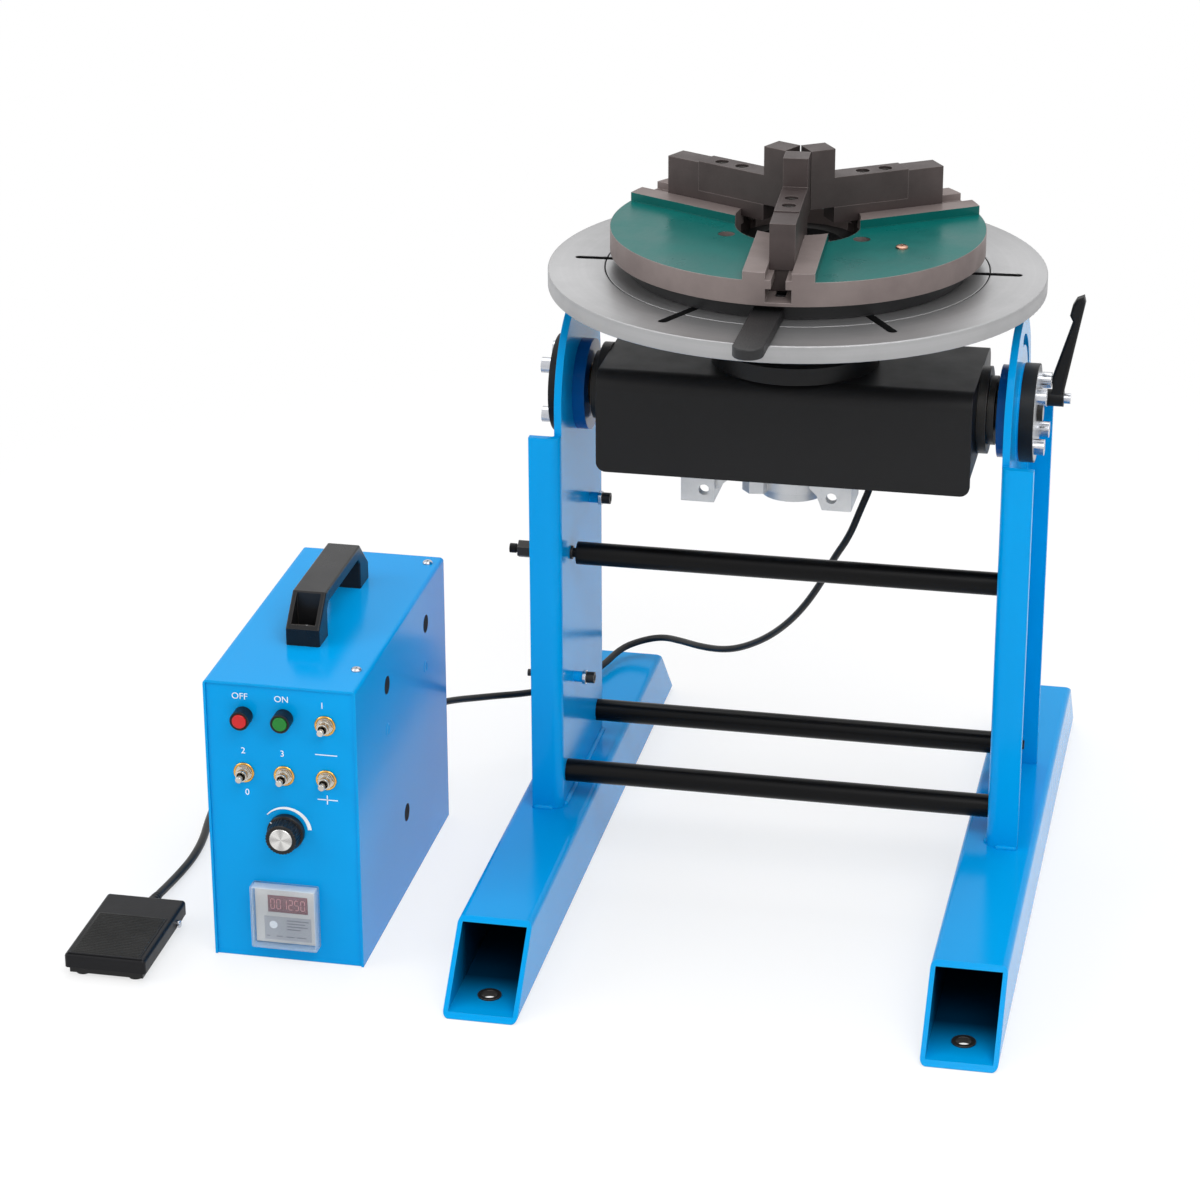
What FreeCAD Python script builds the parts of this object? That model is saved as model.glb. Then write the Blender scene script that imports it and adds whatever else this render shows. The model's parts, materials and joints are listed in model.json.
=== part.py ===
# Welding positioner: tilting head with a turntable and a scroll chuck on a two-leg stand,
# with its control box, foot switch and the two cords between them.
# Frame: floor level at the middle of the four floor bolts, +X along the tilt axis towards
# the clamp lever, +Y away from the operator, +Z up. Millimetres and degrees.
import FreeCAD, Part
import Sketcher
import math
import os
import re

doc = FreeCAD.newDocument("positioner")
dim = doc.addObject("Spreadsheet::Sheet", "dim")

# every driving size of the object, one cell each
sizes = {
    # stand
    "footTube": 60, "footWall": 4, "footLength": 656, "footSlant": 61, "footSpacing": 375,
    "boltSpanY": 584, "bushHoleRad": 8, "bushBore": 6,
    "postInner": 177.5, "postPlate": 6, "postReach": 25.7, "postHalf": 86, "postTop": 390,
    "bendOuter": 8, "bendInner": 2, "cheekHalf": 78, "tiltY": 19.5, "tiltZ": 408.5,
    "barRad": 9.5, "studRad": 4, "studOut": 193.5, "longStudOut": 223.6, "barNeck": 5.5,
    "upperBarY": -25, "upperBarZ": 276, "frontBarY": -46, "rearBarY": 78, "lowBarZ": 87.5,
    "nutFlat": 6.5, "nutThick": 6.5, "washerRad": 8, "washerThick": 1.6, "sleeveOut": 208, "longNutOut": 221.7,
    "bossRad": 4.6, "bossLong": 8, "bossScrewRad": 3, "bossScrewOut": 217, "bossWasherRad": 5.9,
    "bossWasherThick": 2.8, "bossHeadRad": 4.8, "bossHeadLong": 7,
    # tilt bearings
    "spigotRad": 24, "housingRad": 37.5, "housingThick": 10, "padRad": 39.5, "padThick": 2,
    "capRad": 40, "capThick": 11.5, "capBoltPitch": 21.2, "capScrewRad": 4, "capHeadRad": 6.5,
    "capHeadLong": 8.5, "bushOuter": 19, "shaftRad": 16, "shaftEndRad": 6.5, "shaftEnd": 201.5,
    "collarRad": 35.5, "collarThick": 7.5, "neckRad": 28, "neckEnd": 164.5,
    # tilt clamp
    "slotRadius": 58.6, "clampAngle": -6.6, "slotHalf": 4.5, "clampStudRad": 4,
    "clampBlockRad": 11, "clampSleeveRad": 8, "leverHubRad": 7, "leverHubIn": 199.9,
    "leverHubOut": 213.3, "leverWide": 11,
    # head hood and what it carries
    "hoodHalf": 151.5, "hoodDepth": 67.7, "hoodFrontLow": 358, "hoodSideLow": 373,
    "hoodTop": 442, "hoodSheet": 3, "hoodBend": 14, "hoodCorner": 8, "bridgePlate": 8,
    "bridgeHalfY": 53, "neckFlangeRad": 68, "neckFlangeThick": 14, "neckBodyRad": 58,
    "neckTop": 486, "bearingOuter": 31, "spindleRad": 20, "spindleLow": 340, "spindleBore": 7,
    "spindleFlangeRad": 58, "spindleFlangeThick": 12, "wheelRad": 30, "wheelThick": 18,
    "wormOffset": 38, "wormZ": 384, "wormRad": 8, "wormShaftRad": 5, "motorRad": 26,
    "motorLong": 84, "gearHalfX": 50, "gearHalfY": 50, "gearLow": 350, "gearCapRad": 26,
    "gearCapLow": 327, "plugFlat": 10, "plugLow": 334, "lugThick": 8, "lugLow": 324, "lugY": -12, "lugDeep": 43,
    # turntable
    "tableRad": 200, "tableTop": 519.9, "tableThick": 14, "tableBore": 30, "tableTurn": 3.2,
    "slotWide": 8, "slotIn": 96, "slotOut": 180, "slotCount": 6, "grooveRad": 154,
    # chuck
    "chuckRad": 150, "chuckLow": 534.5, "chuckDeck": 554, "railTop": 561, "railWide": 56,
    "chuckBore": 50, "guideWide": 20.4, "lipWide": 11.4, "lipTop": 555, "lipLow": 548,
    "guideLow": 537.3, "spacerRad": 68, "chuckBoltRad": 62, "chuckBoltHole": 4.2,
    "scrollIn": 68.05, "scrollOut": 136, "scrollLow": 520.2, "scrollTop": 534.2,
    "scrollPitch": 8, "scrollStart": 74, "scrollQuarters": 28, "grooveWide": 4.6, "grooveDeep": 5,
    "toothWide": 3.6, "toothLong": 7, "toothRad": 76,
    "scrollLeverWide": 24, "scrollLeverEnd": 228, "scrollLeverLow": 522.4, "scrollLeverThick": 8.6,
    # jaws, as they stand closed
    "jawWide": 20, "jawTip": 6.2, "jawStep": 27, "jawSeam": 92, "jawOut": 123,
    "jawSeat": 568.5, "jawBarTop": 593, "jawTipTop": 616.5, "jawNeckWide": 10.8,
    # control box
    "boxX": -361, "boxWide": 124, "boxFront": -260, "boxDeep": 284, "boxHigh": 242,
    "boxSheet": 2, "handleX": -363.8, "handleLong": 151, "handleWide": 28, "handleHigh": 38,
    "handleFoot": 26, "handleNose": 14.5, "handleBar": 11, "handlePocket": 20,
    "bezelRad": 7.8, "bezelLong": 12, "buttonRad": 5.8, "toggleRad": 5.25, "toggleBallRad": 3.4,
    "toggleWasherRad": 8.3,
    "knobRad": 15, "knobLong": 18, "knobGap": 0.6, "counterSide": 50, "coverSide": 55,
    "coverDeep": 11, "coverWall": 1.5,
    # foot switch
    "pedalX": -495.7, "pedalWide": 67.5, "pedalFront": -321.7, "pedalDeep": 108.7,
    "pedalTop": 20.5, "pedalFoot": 3, "pinY": -238, "pinZ": 11, "pinRad": 2,
    # cords
    "motorCordRad": 3, "pedalCordRad": 3.5,
}
for row, (word, value) in enumerate(sizes.items(), start=1):
    dim.set("A%d" % row, word)
    dim.set("B%d" % row, str(value))
    dim.setAlias("B%d" % row, word)
doc.recompute()

kept = []  # the finished sub-parts, in order


def v(word):
    return float(dim.get(word))


def rule(text):
    return re.sub(r"[A-Za-z]\w*", lambda m: "dim." + m.group() if m.group() in sizes else m.group(), str(text))


def bind(thing, **bound):
    for name, text in bound.items():
        thing.setExpression(name, rule(text))
    return thing


def place(thing, x, y, z, turn=None):
    if turn:
        thing.Placement = FreeCAD.Placement(FreeCAD.Vector(), FreeCAD.Rotation(FreeCAD.Vector(*turn[0]), turn[1]))
    for axis, text in (("x", x), ("y", y), ("z", z)):
        thing.setExpression(".Placement.Base." + axis, rule(text))
    return thing


def block(long, wide, high, x, y, z, turn=None):
    thing = doc.addObject("Part::Box", "block")
    bind(thing, Length=long, Width=wide, Height=high)
    return place(thing, x, y, z, turn)


alongX = ((0, 1, 0), 90)
alongBackX = ((0, 1, 0), -90)
alongY = ((1, 0, 0), -90)
alongFrontY = ((1, 0, 0), 90)


def rod(radius, long, x, y, z, turn=None):
    thing = doc.addObject("Part::Cylinder", "rod")
    bind(thing, Radius=radius, Height=long)
    return place(thing, x, y, z, turn)


def taper(low, high, long, x, y, z, turn=None):
    thing = doc.addObject("Part::Cone", "taper")
    bind(thing, Radius1=low, Radius2=high, Height=long)
    return place(thing, x, y, z, turn)


def hexBar(flat, long, x, y, z, turn=None):
    thing = doc.addObject("Part::Prism", "hexBar")
    thing.Polygon = 6
    bind(thing, Circumradius="(%s) / cos(30)" % flat, Height=long)
    return place(thing, x, y, z, turn)


def several(kind, parts):
    thing = doc.addObject(kind, kind[6:].lower())
    if kind == "Part::Compound":
        thing.Links = parts
    else:
        thing.Shapes = parts
    return thing


def join(*parts):
    thing = several("Part::MultiFuse", list(parts))
    thing.Refine = True
    return thing


def cut(base, *tools):
    thing = doc.addObject("Part::Cut", "cut")
    thing.Base = base
    thing.Tool = tools[0] if len(tools) == 1 else several("Part::MultiFuse", list(tools))
    return thing


def common(one, two):
    thing = doc.addObject("Part::Common", "common")
    thing.Base = one
    thing.Tool = two
    return thing


def turnAbout(piece, angle):
    # the piece turned about the table axis
    centre = FreeCAD.Vector(0, v("tiltY"), 0)
    spin = FreeCAD.Placement(FreeCAD.Vector(), FreeCAD.Rotation(FreeCAD.Vector(0, 0, 1), angle), centre)
    thing = doc.addObject("Part::Compound", "turnedPiece")
    thing.Links = [piece]
    thing.Placement = spin
    return thing


def mirroredX(base):
    thing = doc.addObject("Part::Mirroring", "mirrored")
    thing.Source = base
    thing.Base = (0, 0, 0)
    thing.Normal = (1, 0, 0)
    return thing


def keep(thing, label):
    thing.Label = label
    kept.append(thing)
    return thing


def group(label, parts):
    return keep(several("Part::Compound", list(parts)), label)


def rounded(base, radius, test):
    # fillets every edge whose middle point and direction pass the test
    doc.recompute()
    names = []
    for index, edge in enumerate(base.Shape.Edges, start=1):
        if edge.Degenerated:
            continue
        middle = edge.valueAt((edge.FirstParameter + edge.LastParameter) / 2)
        along = edge.tangentAt((edge.FirstParameter + edge.LastParameter) / 2)
        if test(middle, along):
            names.append((index, radius, radius))
    thing = doc.addObject("Part::Fillet", "rounded")
    thing.Base = base
    thing.Edges = names
    return thing


def outlineBody(label, role, corners, long, both=False, back=False, x="0", y="0", z="0"):
    # a PartDesign body: one closed outline on an origin plane, padded
    body = doc.addObject("PartDesign::Body", label)
    flat = [item for item in body.Origin.OriginFeatures if item.Role == role][0]
    sketch = body.newObject("Sketcher::SketchObject", label + "Outline")
    sketch.AttachmentSupport = [(flat, "")]
    sketch.MapMode = "FlatFace"
    points = [FreeCAD.Vector(value(a), value(b), 0) for a, b in corners]
    count = len(points)
    for index in range(count):
        sketch.addGeometry(Part.LineSegment(points[index], points[(index + 1) % count]), False)
    for index in range(count):
        sketch.addConstraint(Sketcher.Constraint("Coincident", index, 2, (index + 1) % count, 1))
    for index, (a, b) in enumerate(corners):
        for kind, text in (("DistanceX", a), ("DistanceY", b)):
            slot = sketch.addConstraint(Sketcher.Constraint(kind, -1, 1, index, 1, value(text)))
            sketch.setExpression("Constraints[%d]" % slot, rule(text))
    pad = body.newObject("PartDesign::Pad", label + "Pad")
    pad.Profile = sketch
    pad.setExpression("Length", rule(long))
    pad.Midplane = both
    pad.Reversed = back
    sketch.Visibility = False
    body.Tip = pad
    return place(body, x, y, z)


def value(text):
    # what an expression comes to, worked out by the sheet itself
    dim.set("D1", "=" + str(text))
    dim.recompute()
    return float(dim.get("D1"))


# ---------------------------------------------------------------- stand
# the feet: square tube, both ends cut back upwards, one bolt hole near each end
feet = []
for side in (-1, 1):
    half = "footSpacing / 2" if side > 0 else "0 - footSpacing / 2"
    outer = outlineBody("footOuter", "YZ_Plane", [
        ("0 - footLength / 2", "0"), ("footLength / 2", "0"),
        ("footLength / 2 - footSlant", "footTube"), ("0 - footLength / 2 + footSlant", "footTube")],
        "footTube", both=True, x=half)
    hollow = block("footTube - 2 * footWall", "footLength + 2", "footTube - 2 * footWall",
                   "%s - footTube / 2 + footWall" % half, "0 - footLength / 2 - 1", "footWall")
    rounder = rounded(outer, 5, lambda p, t: abs(t.y) > 0.99)
    holes = [rod("bushHoleRad", "footWall + 2", half, "%d * boltSpanY / 2" % end, "-1") for end in (-1, 1)]
    feet.append(cut(rounder, hollow, *holes))
group("foot_tubes", feet)

# turned steel bushes in the floor bolt holes
bushes = []
for side in (-1, 1):
    for end in (-1, 1):
        x = "%d * footSpacing / 2" % side
        y = "%d * boltSpanY / 2" % end
        body = join(rod("bushHoleRad - 0.02", "footWall", x, y, "0"),
                    rod("bushHoleRad + 1.5", "1.2", x, y, "footWall"))
        bushes.append(cut(body, rod("bushBore", "footWall + 4", x, y, "-1")))
group("foot_bushes", bushes)

# the posts: one folded plate each, its web going on up as a round-topped cheek
barSeats = [("upperBarY", "upperBarZ"), ("frontBarY", "lowBarZ"), ("rearBarY", "lowBarZ")]
bossSeats = [("51", "296"), ("-17", "160.7")]


def post(side):
    flip = "" if side > 0 else "0 - "
    inner, outer, lip = ("%s%s" % (flip, text) for text in
                         ("postInner", "(postInner + postPlate)", "(postInner + postReach)"))
    channel = outlineBody("channel", "XY_Plane", [
        ("postInner", "0 - postHalf"), ("postInner + postReach", "0 - postHalf"),
        ("postInner + postReach", "0 - postHalf + postPlate"), ("postInner + postPlate", "0 - postHalf + postPlate"),
        ("postInner + postPlate", "postHalf - postPlate"), ("postInner + postReach", "postHalf - postPlate"),
        ("postInner + postReach", "postHalf"), ("postInner", "postHalf")],
        "postTop - footTube", y="tiltY", z="footTube")
    bends = rounded(channel, v("bendOuter"), lambda p, t: abs(t.z) > 0.9 and p.x < v("postInner") + 1)
    bends = rounded(bends, v("bendInner"), lambda p, t: abs(t.z) > 0.9 and
                    abs(p.x - v("postInner") - v("postPlate")) < 0.5 and abs(p.y - v("tiltY")) > 70)
    cheek = block("postPlate", "2 * cheekHalf", "tiltZ - postTop + 12", "postInner", "tiltY - cheekHalf",
                  "postTop - 12")
    crown = rod("cheekHalf", "postPlate", "postInner", "tiltY", "tiltZ", alongX)
    pad = rod("padRad", "padThick", "postInner + postPlate", "tiltY", "tiltZ", alongX)
    solid = join(bends, cheek, crown, pad)
    tools = [rod("spigotRad + 0.02", "postPlate + padThick + 2", "postInner - 1", "tiltY", "tiltZ", alongX)]
    for a in (-1, 1):
        for b in (-1, 1):
            tools.append(rod("capScrewRad + 0.02", "postPlate + padThick + 2", "postInner - 1",
                             "tiltY + %d * capBoltPitch" % a, "tiltZ + %d * capBoltPitch" % b, alongX))
    for y, z in barSeats:
        tools.append(rod("studRad + 0.1", "postPlate + 2", "postInner - 1", y, z, alongX))
    if side < 0:
        for y, z in bossSeats:
            tools.append(rod("bossScrewRad + 0.1", "postPlate + 2", "postInner - 1", y, z, alongX))
    else:
        ring = cut(rod("slotRadius + slotHalf", "postPlate + 2", "postInner - 1", "tiltY", "tiltZ", alongX),
                   rod("slotRadius - slotHalf", "postPlate + 4", "postInner - 2", "tiltY", "tiltZ", alongX))
        wedge = doc.addObject("Part::Feature", "wedge")
        low = math.radians(v("clampAngle") - 3)
        high = math.radians(v("clampAngle") + 93)
        rim = [FreeCAD.Vector(v("postInner") - 2, v("tiltY"), v("tiltZ"))]
        for angle in (low, (low + high) / 2, high):
            rim.append(rim[0] + FreeCAD.Vector(0, 120 * math.cos(angle), 120 * math.sin(angle)))
        wedge.Shape = Part.Face(Part.makePolygon(rim + rim[:1])).extrude(FreeCAD.Vector(v("postPlate") + 4, 0, 0))
        tools.append(common(ring, wedge))
        for angle in (low, high):
            end = rod("slotHalf", "postPlate + 2", "postInner - 1",
                      "tiltY + slotRadius * %.6f" % math.cos(angle),
                      "tiltZ + slotRadius * %.6f" % math.sin(angle), alongX)
            tools.append(end)
    drilled = cut(solid, *tools)
    if side > 0:
        return keep(drilled, "right_post")
    bosses = []
    for y, z in bossSeats:
        bosses.append(cut(rod("bossRad", "bossLong", "postInner - bossLong", y, z, alongX),
                          rod("bossScrewRad + 0.1", "bossLong + 2", "postInner - bossLong - 1", y, z, alongX)))
    return keep(mirroredX(join(drilled, *bosses)), "left_post")


post(-1)
post(1)

# the three tie bars, their turned ends standing through the webs; the upper one has a neck at its left
# end, and its stud there is long, with a grooved tip
bars = []
for index, (y, z) in enumerate(barSeats):
    neck = "barNeck" if index == 0 else "0"
    left = "longNutOut" if index == 0 else "studOut"
    turned = [rod("barRad", "2 * postInner - %s" % neck, "%s - postInner" % neck, y, z, alongX),
              rod("studRad", "studOut + %s" % left, "0 - %s" % left, y, z, alongX)]
    if index == 0:
        turned.append(rod("studRad - 0.7", "10", "0 - longStudOut", y, z, alongX))
        turned.append(rod("studRad", "5.4", "0 - longStudOut - 5.4", y, z, alongX))
    bars.append(join(*turned))
group("crossbars", bars)

# washers and nuts on the bar ends; a sleeve and a longer nut on the long stud, a washer on its neck
nuts = []
for index, (y, z) in enumerate(barSeats):
    for side in (-1, 1):
        start, tall, base = "postInner + postPlate", "nutThick + washerThick", "washerRad"
        if index == 0 and side < 0:
            start, tall, base = "sleeveOut", "longNutOut - sleeveOut", "nutFlat"
        whole = join(rod(base, "washerThick", start, y, z, alongX), hexBar("nutFlat", tall, start, y, z, alongX))
        bored = cut(whole, rod("studRad + 0.05", "%s + 4" % tall, "%s - 1" % start, y, z, alongX))
        nuts.append(bored if side > 0 else mirroredX(bored))
for radius, long, start in (("nutFlat - 0.3", "sleeveOut - postInner - postPlate", "0 - sleeveOut"),
                            ("studRad + 1.6", "1.8", "0 - postInner")):
    nuts.append(cut(rod(radius, long, start, "upperBarY", "upperBarZ", alongX),
                    rod("studRad + 0.05", "%s + 2" % long, "%s - 1" % start, "upperBarY", "upperBarZ", alongX)))
group("crossbar_nuts", nuts)

# cap screws in the two welded bosses of the left post, their ends standing out behind the web
screws = []
bossEnd = "bossLong - postInner"
for y, z in bossSeats:
    head = join(rod("bossWasherRad", "bossWasherThick", bossEnd, y, z, alongX),
                rod("bossHeadRad", "bossHeadLong", "%s + bossWasherThick" % bossEnd, y, z, alongX))
    head = cut(head, hexBar("2.5", "6", "%s + bossWasherThick + 3.5" % bossEnd, y, z, alongX))
    screws.append(join(head, rod("bossScrewRad", "bossScrewOut + %s + 1" % bossEnd, "0 - bossScrewOut", y, z,
                                 alongX)))
group("boss_screws", screws)

# tilt bearings: a flanged housing through each cheek, a bush in it, a cap screwed on outside
housings = []
linings = []
caps = []
capScrews = []
throughLong = "housingThick + postPlate + padThick"
for side in (-1, 1):
    housing = cut(join(rod("housingRad", "housingThick", "postInner - housingThick", "tiltY", "tiltZ", alongX),
                       rod("spigotRad", throughLong, "postInner - housingThick", "tiltY", "tiltZ", alongX)),
                  rod("bushOuter + 0.02", "40", "postInner - 20", "tiltY", "tiltZ", alongX))
    lining = cut(rod("bushOuter", throughLong, "postInner - housingThick", "tiltY", "tiltZ", alongX),
                 rod("shaftRad + 0.05", "40", "postInner - 20", "tiltY", "tiltZ", alongX))
    capTools = [rod("shaftEndRad + 0.3", "capThick + 2", "postInner + postPlate + padThick - 1", "tiltY", "tiltZ",
                    alongX),
                rod("shaftRad + 0.6", "2.5", "postInner + postPlate + padThick - 0.01", "tiltY", "tiltZ", alongX)]
    for a in (-1, 1):
        for b in (-1, 1):
            y = "tiltY + %d * capBoltPitch" % a
            z = "tiltZ + %d * capBoltPitch" % b
            start = "postInner + 0.5"
            face = "postInner + postPlate + padThick + capThick"
            capTools.append(rod("capScrewRad + 0.3", "capThick + 2", "postInner + postPlate + padThick - 1", y, z,
                                alongX))
            screw = cut(join(rod("capScrewRad", "capThick + postPlate + padThick", start, y, z, alongX),
                             rod("capHeadRad", "capHeadLong", face, y, z, alongX)),
                        hexBar("3.1", "5", "%s + capHeadLong - 4" % face, y, z, alongX))
            capScrews.append(screw if side > 0 else mirroredX(screw))
    cap = cut(rod("capRad", "capThick", "postInner + postPlate + padThick", "tiltY", "tiltZ", alongX), *capTools)
    for store, piece in ((housings, housing), (linings, lining), (caps, cap)):
        store.append(piece if side > 0 else mirroredX(piece))
group("bearing_housings", housings)
group("trunnion_bushes", linings)
group("bearing_caps", caps)
group("cap_screws", capScrews)

# ---------------------------------------------------------------- tilting head
# the hood: a bent sheet, front and top and back in one, with end walls, open below
shell = block("2 * hoodHalf", "2 * hoodDepth", "hoodTop - hoodSideLow", "0 - hoodHalf", "tiltY - hoodDepth",
              "hoodSideLow")
apron = block("2 * hoodHalf", "hoodSheet", "hoodSideLow - hoodFrontLow + 20", "0 - hoodHalf", "tiltY - hoodDepth",
              "hoodFrontLow")
apron = rounded(apron, v("hoodCorner"), lambda p, t: abs(t.y) > 0.9 and p.z < v("hoodFrontLow") + 1)
shell = rounded(shell, v("hoodBend"), lambda p, t: abs(t.x) > 0.9 and p.z > v("hoodTop") - 1)
room = block("2 * hoodHalf - 2 * hoodSheet", "2 * hoodDepth - 2 * hoodSheet", "hoodTop - hoodSideLow - hoodSheet + 1",
             "0 - hoodHalf + hoodSheet", "tiltY - hoodDepth + hoodSheet", "hoodSideLow - 1")
room = rounded(room, v("hoodBend") - v("hoodSheet"),
               lambda p, t: abs(t.x) > 0.9 and p.z > v("hoodTop") - v("hoodSheet") - 1)
hood = cut(join(cut(shell, room), apron),
           rod("bearingOuter + 14.1", "20", "0", "tiltY", "hoodTop - 10"),
           rod("shaftRad + 4.1", "2 * hoodHalf + 2", "0 - hoodHalf - 1", "tiltY", "tiltZ", alongX))
keep(hood, "head_hood")

# the bridge: a thick bent plate inside the hood that ties the trunnions and the spindle housing
span = "hoodHalf - hoodSheet"
bridge = join(block("2 * (%s)" % span, "2 * bridgeHalfY", "bridgePlate", "0 - (%s)" % span, "tiltY - bridgeHalfY",
                    "hoodTop - hoodSheet - bridgePlate"),
              block("bridgePlate", "2 * 42", "hoodTop - hoodSheet - hoodSideLow - 2", "0 - (%s)" % span,
                    "tiltY - 42", "hoodSideLow + 2"),
              block("bridgePlate", "2 * 42", "hoodTop - hoodSheet - hoodSideLow - 2", "%s - bridgePlate" % span,
                    "tiltY - 42", "hoodSideLow + 2"))
bridge = cut(bridge, rod("bearingOuter + 14.1", "20", "0", "tiltY", "hoodTop - 16"),
             rod("shaftRad + 4.1", "2 * hoodHalf", "0 - hoodHalf", "tiltY", "tiltZ", alongX))
keep(bridge, "head_bridge")

# trunnions: collar on the end wall, neck, shaft through the bearing, thin bright end
trunnions = []
for side in (-1, 1):
    pin = join(rod("shaftRad + 4", "12", "hoodHalf - 12", "tiltY", "tiltZ", alongX),
               rod("collarRad", "collarThick", "hoodHalf", "tiltY", "tiltZ", alongX),
               rod("neckRad", "neckEnd - hoodHalf", "hoodHalf", "tiltY", "tiltZ", alongX),
               rod("shaftRad", "postInner + postPlate + padThick + 1.5 - hoodHalf", "hoodHalf", "tiltY", "tiltZ",
                   alongX),
               rod("shaftEndRad", "shaftEnd - hoodHalf", "hoodHalf", "tiltY", "tiltZ", alongX))
    trunnions.append(pin if side > 0 else mirroredX(pin))
group("trunnions", trunnions)

# spindle housing standing on the hood, two ball bearings in it
neck = join(rod("neckFlangeRad", "neckFlangeThick", "0", "tiltY", "hoodTop"),
            rod("neckBodyRad", "neckTop - hoodTop", "0", "tiltY", "hoodTop"),
            rod("bearingOuter + 14", "hoodSheet + bridgePlate", "0", "tiltY", "hoodTop - hoodSheet - bridgePlate"))
neck = cut(neck, rod("bearingOuter + 0.02", "neckTop - hoodTop + 2", "0", "tiltY", "hoodTop + 1"),
           rod("bearingOuter - 5", "40", "0", "tiltY", "hoodTop - 20"))
keep(neck, "spindle_housing")
rings = []
for z in ("hoodTop + 1", "neckTop - 13"):
    rings.append(cut(rod("bearingOuter", "12", "0", "tiltY", z),
                     rod("spindleRad + 0.03", "14", "0", "tiltY", "%s - 1" % z)))
group("spindle_bearings", rings)

# worm gearbox under the bridge: block with a broad foot flange, round boss below, two drilled lugs
gearTop = "hoodTop - hoodSheet - bridgePlate"
case = block("2 * gearHalfX", "2 * gearHalfY", "%s - gearLow" % gearTop, "0 - gearHalfX", "tiltY - gearHalfY + 6",
             "gearLow")
case = rounded(case, 6, lambda p, t: abs(t.z) > 0.9)
lugs = [(-88, -60.5, -69), (28.5, 52.5, 36)]
casting = [case, block("144.5", "2 * gearHalfY - 12", "8", "-90", "tiltY - gearHalfY + 12", "gearLow"),
           rod("gearCapRad + 4", "gearLow - gearCapLow - 7", "0", "tiltY", "gearCapLow + 8")]
caseTools = [rod("wheelRad + 3", "wheelThick + 6", "0", "tiltY", "wormZ - wheelThick / 2 - 3"),
             rod("spindleRad - 7.5", "40", "0", "tiltY", "gearCapLow + 10"),
             rod("spindleRad + 1", "60", "0", "tiltY", "wormZ + wheelThick / 2"),
             rod("wormRad + 1", "74", "-38", "tiltY + wormOffset", "wormZ", alongX),
             rod("wormShaftRad + 0.05", "120", "-44", "tiltY + wormOffset", "wormZ", alongX)]
for left, right, hole in lugs:
    casting.append(block("%s - (%s)" % (right, left), "lugThick", "gearLow + 1 - lugLow", str(left), "lugY", "lugLow"))
    casting.append(block("6", "lugDeep", "gearLow + 1 - lugLow", "%s - 6" % right, "lugY", "lugLow"))
    caseTools.append(rod("4.5", "lugThick + 2", str(hole), "lugY - 1", "lugLow + 10.5", alongY))
gusset = outlineBody("gusset", "XZ_Plane", [
    ("-61", "lugLow + 8"), ("-61", "gearLow + 1"), ("-38", "gearLow + 1"), ("-42", "gearLow - 1")], "6", x="0",
    y="lugY + 14")
casting.append(gusset)
casting.append(outlineBody("lugWeb", "XZ_Plane", [
    ("30", "lugLow"), ("28.5", "lugLow"), ("24", "lugLow + 12"), ("18", "lugLow + 18"), ("18", "gearLow + 1"),
    ("30", "gearLow + 1")], "lugThick", x="0", y="lugY + lugThick"))
casting.append(rod("gearCapRad", "9", "0", "tiltY", "gearCapLow"))
casting.append(hexBar("plugFlat", "gearLow + 1 - plugLow", "-27.2", "tiltY - 21.3", "plugLow", ((0, 0, 1), 9)))
keep(cut(join(*casting), *caseTools), "gearbox_case")

# worm shaft, turned by the motor
worm = join(rod("wormShaftRad", "102", "-42", "tiltY + wormOffset", "wormZ", alongX),
            rod("wormRad", "68", "-35", "tiltY + wormOffset", "wormZ", alongX))
keep(worm, "worm_shaft")

# geared motor beside the gearbox; its terminal neck points down
motor = join(rod("motorRad", "motorLong", "gearHalfX", "tiltY + wormOffset", "wormZ", alongX),
             rod("6", "motorRad + 13", "gearHalfX + 11", "tiltY + wormOffset", "wormZ - motorRad - 13"))
motor = cut(motor, rod("wormShaftRad + 0.3", "20", "gearHalfX - 1", "tiltY + wormOffset", "wormZ", alongX))
keep(motor, "drive_motor")

# clamp block: tapped spacer on the end wall that carries the clamp stud through the arc slot
clampY = "tiltY + slotRadius * cos(clampAngle)"
clampZ = "tiltZ + slotRadius * sin(clampAngle)"
blockEnd = cut(rod("clampBlockRad", "postInner - 0.3 - hoodHalf", "hoodHalf", clampY, clampZ, alongX),
               rod("clampStudRad + 0.05", "30", "hoodHalf + 4", clampY, clampZ, alongX))
keep(blockEnd, "clamp_block")
stud = join(rod("clampStudRad", "leverHubOut + 1 - hoodHalf - 6", "hoodHalf + 6", clampY, clampZ, alongX),
            rod("clampSleeveRad", "leverHubIn - postInner - postPlate - 0.3", "postInner + postPlate + 0.3", clampY,
                clampZ, alongX),
            rod("clampStudRad + 0.4", "5.5", "leverHubOut", clampY, clampZ, alongX))
keep(stud, "clamp_stud")
arm = outlineBody("leverArm", "XZ_Plane", [
    ("204.3", "3"), ("203.2", "18.7"), ("217.8", "67.2"), ("215.2", "72.2"), ("216.9", "80.2"),
    ("220.1", "86.2"), ("226", "88.8"), ("227.4", "83.2"), ("213.3", "6")], "leverWide", both=True, y=clampY, z=clampZ)
arm = rounded(arm, 2.2, lambda p, t: abs(t.y) < 0.2 and p.z > v("tiltZ") + 8)
hub = join(arm, rod("leverHubRad", "leverHubOut - leverHubIn", "leverHubIn", clampY, clampZ, alongX))
keep(cut(hub, rod("clampStudRad + 0.02", "40", "leverHubIn - 10", clampY, clampZ, alongX)), "clamp_lever")

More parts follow.
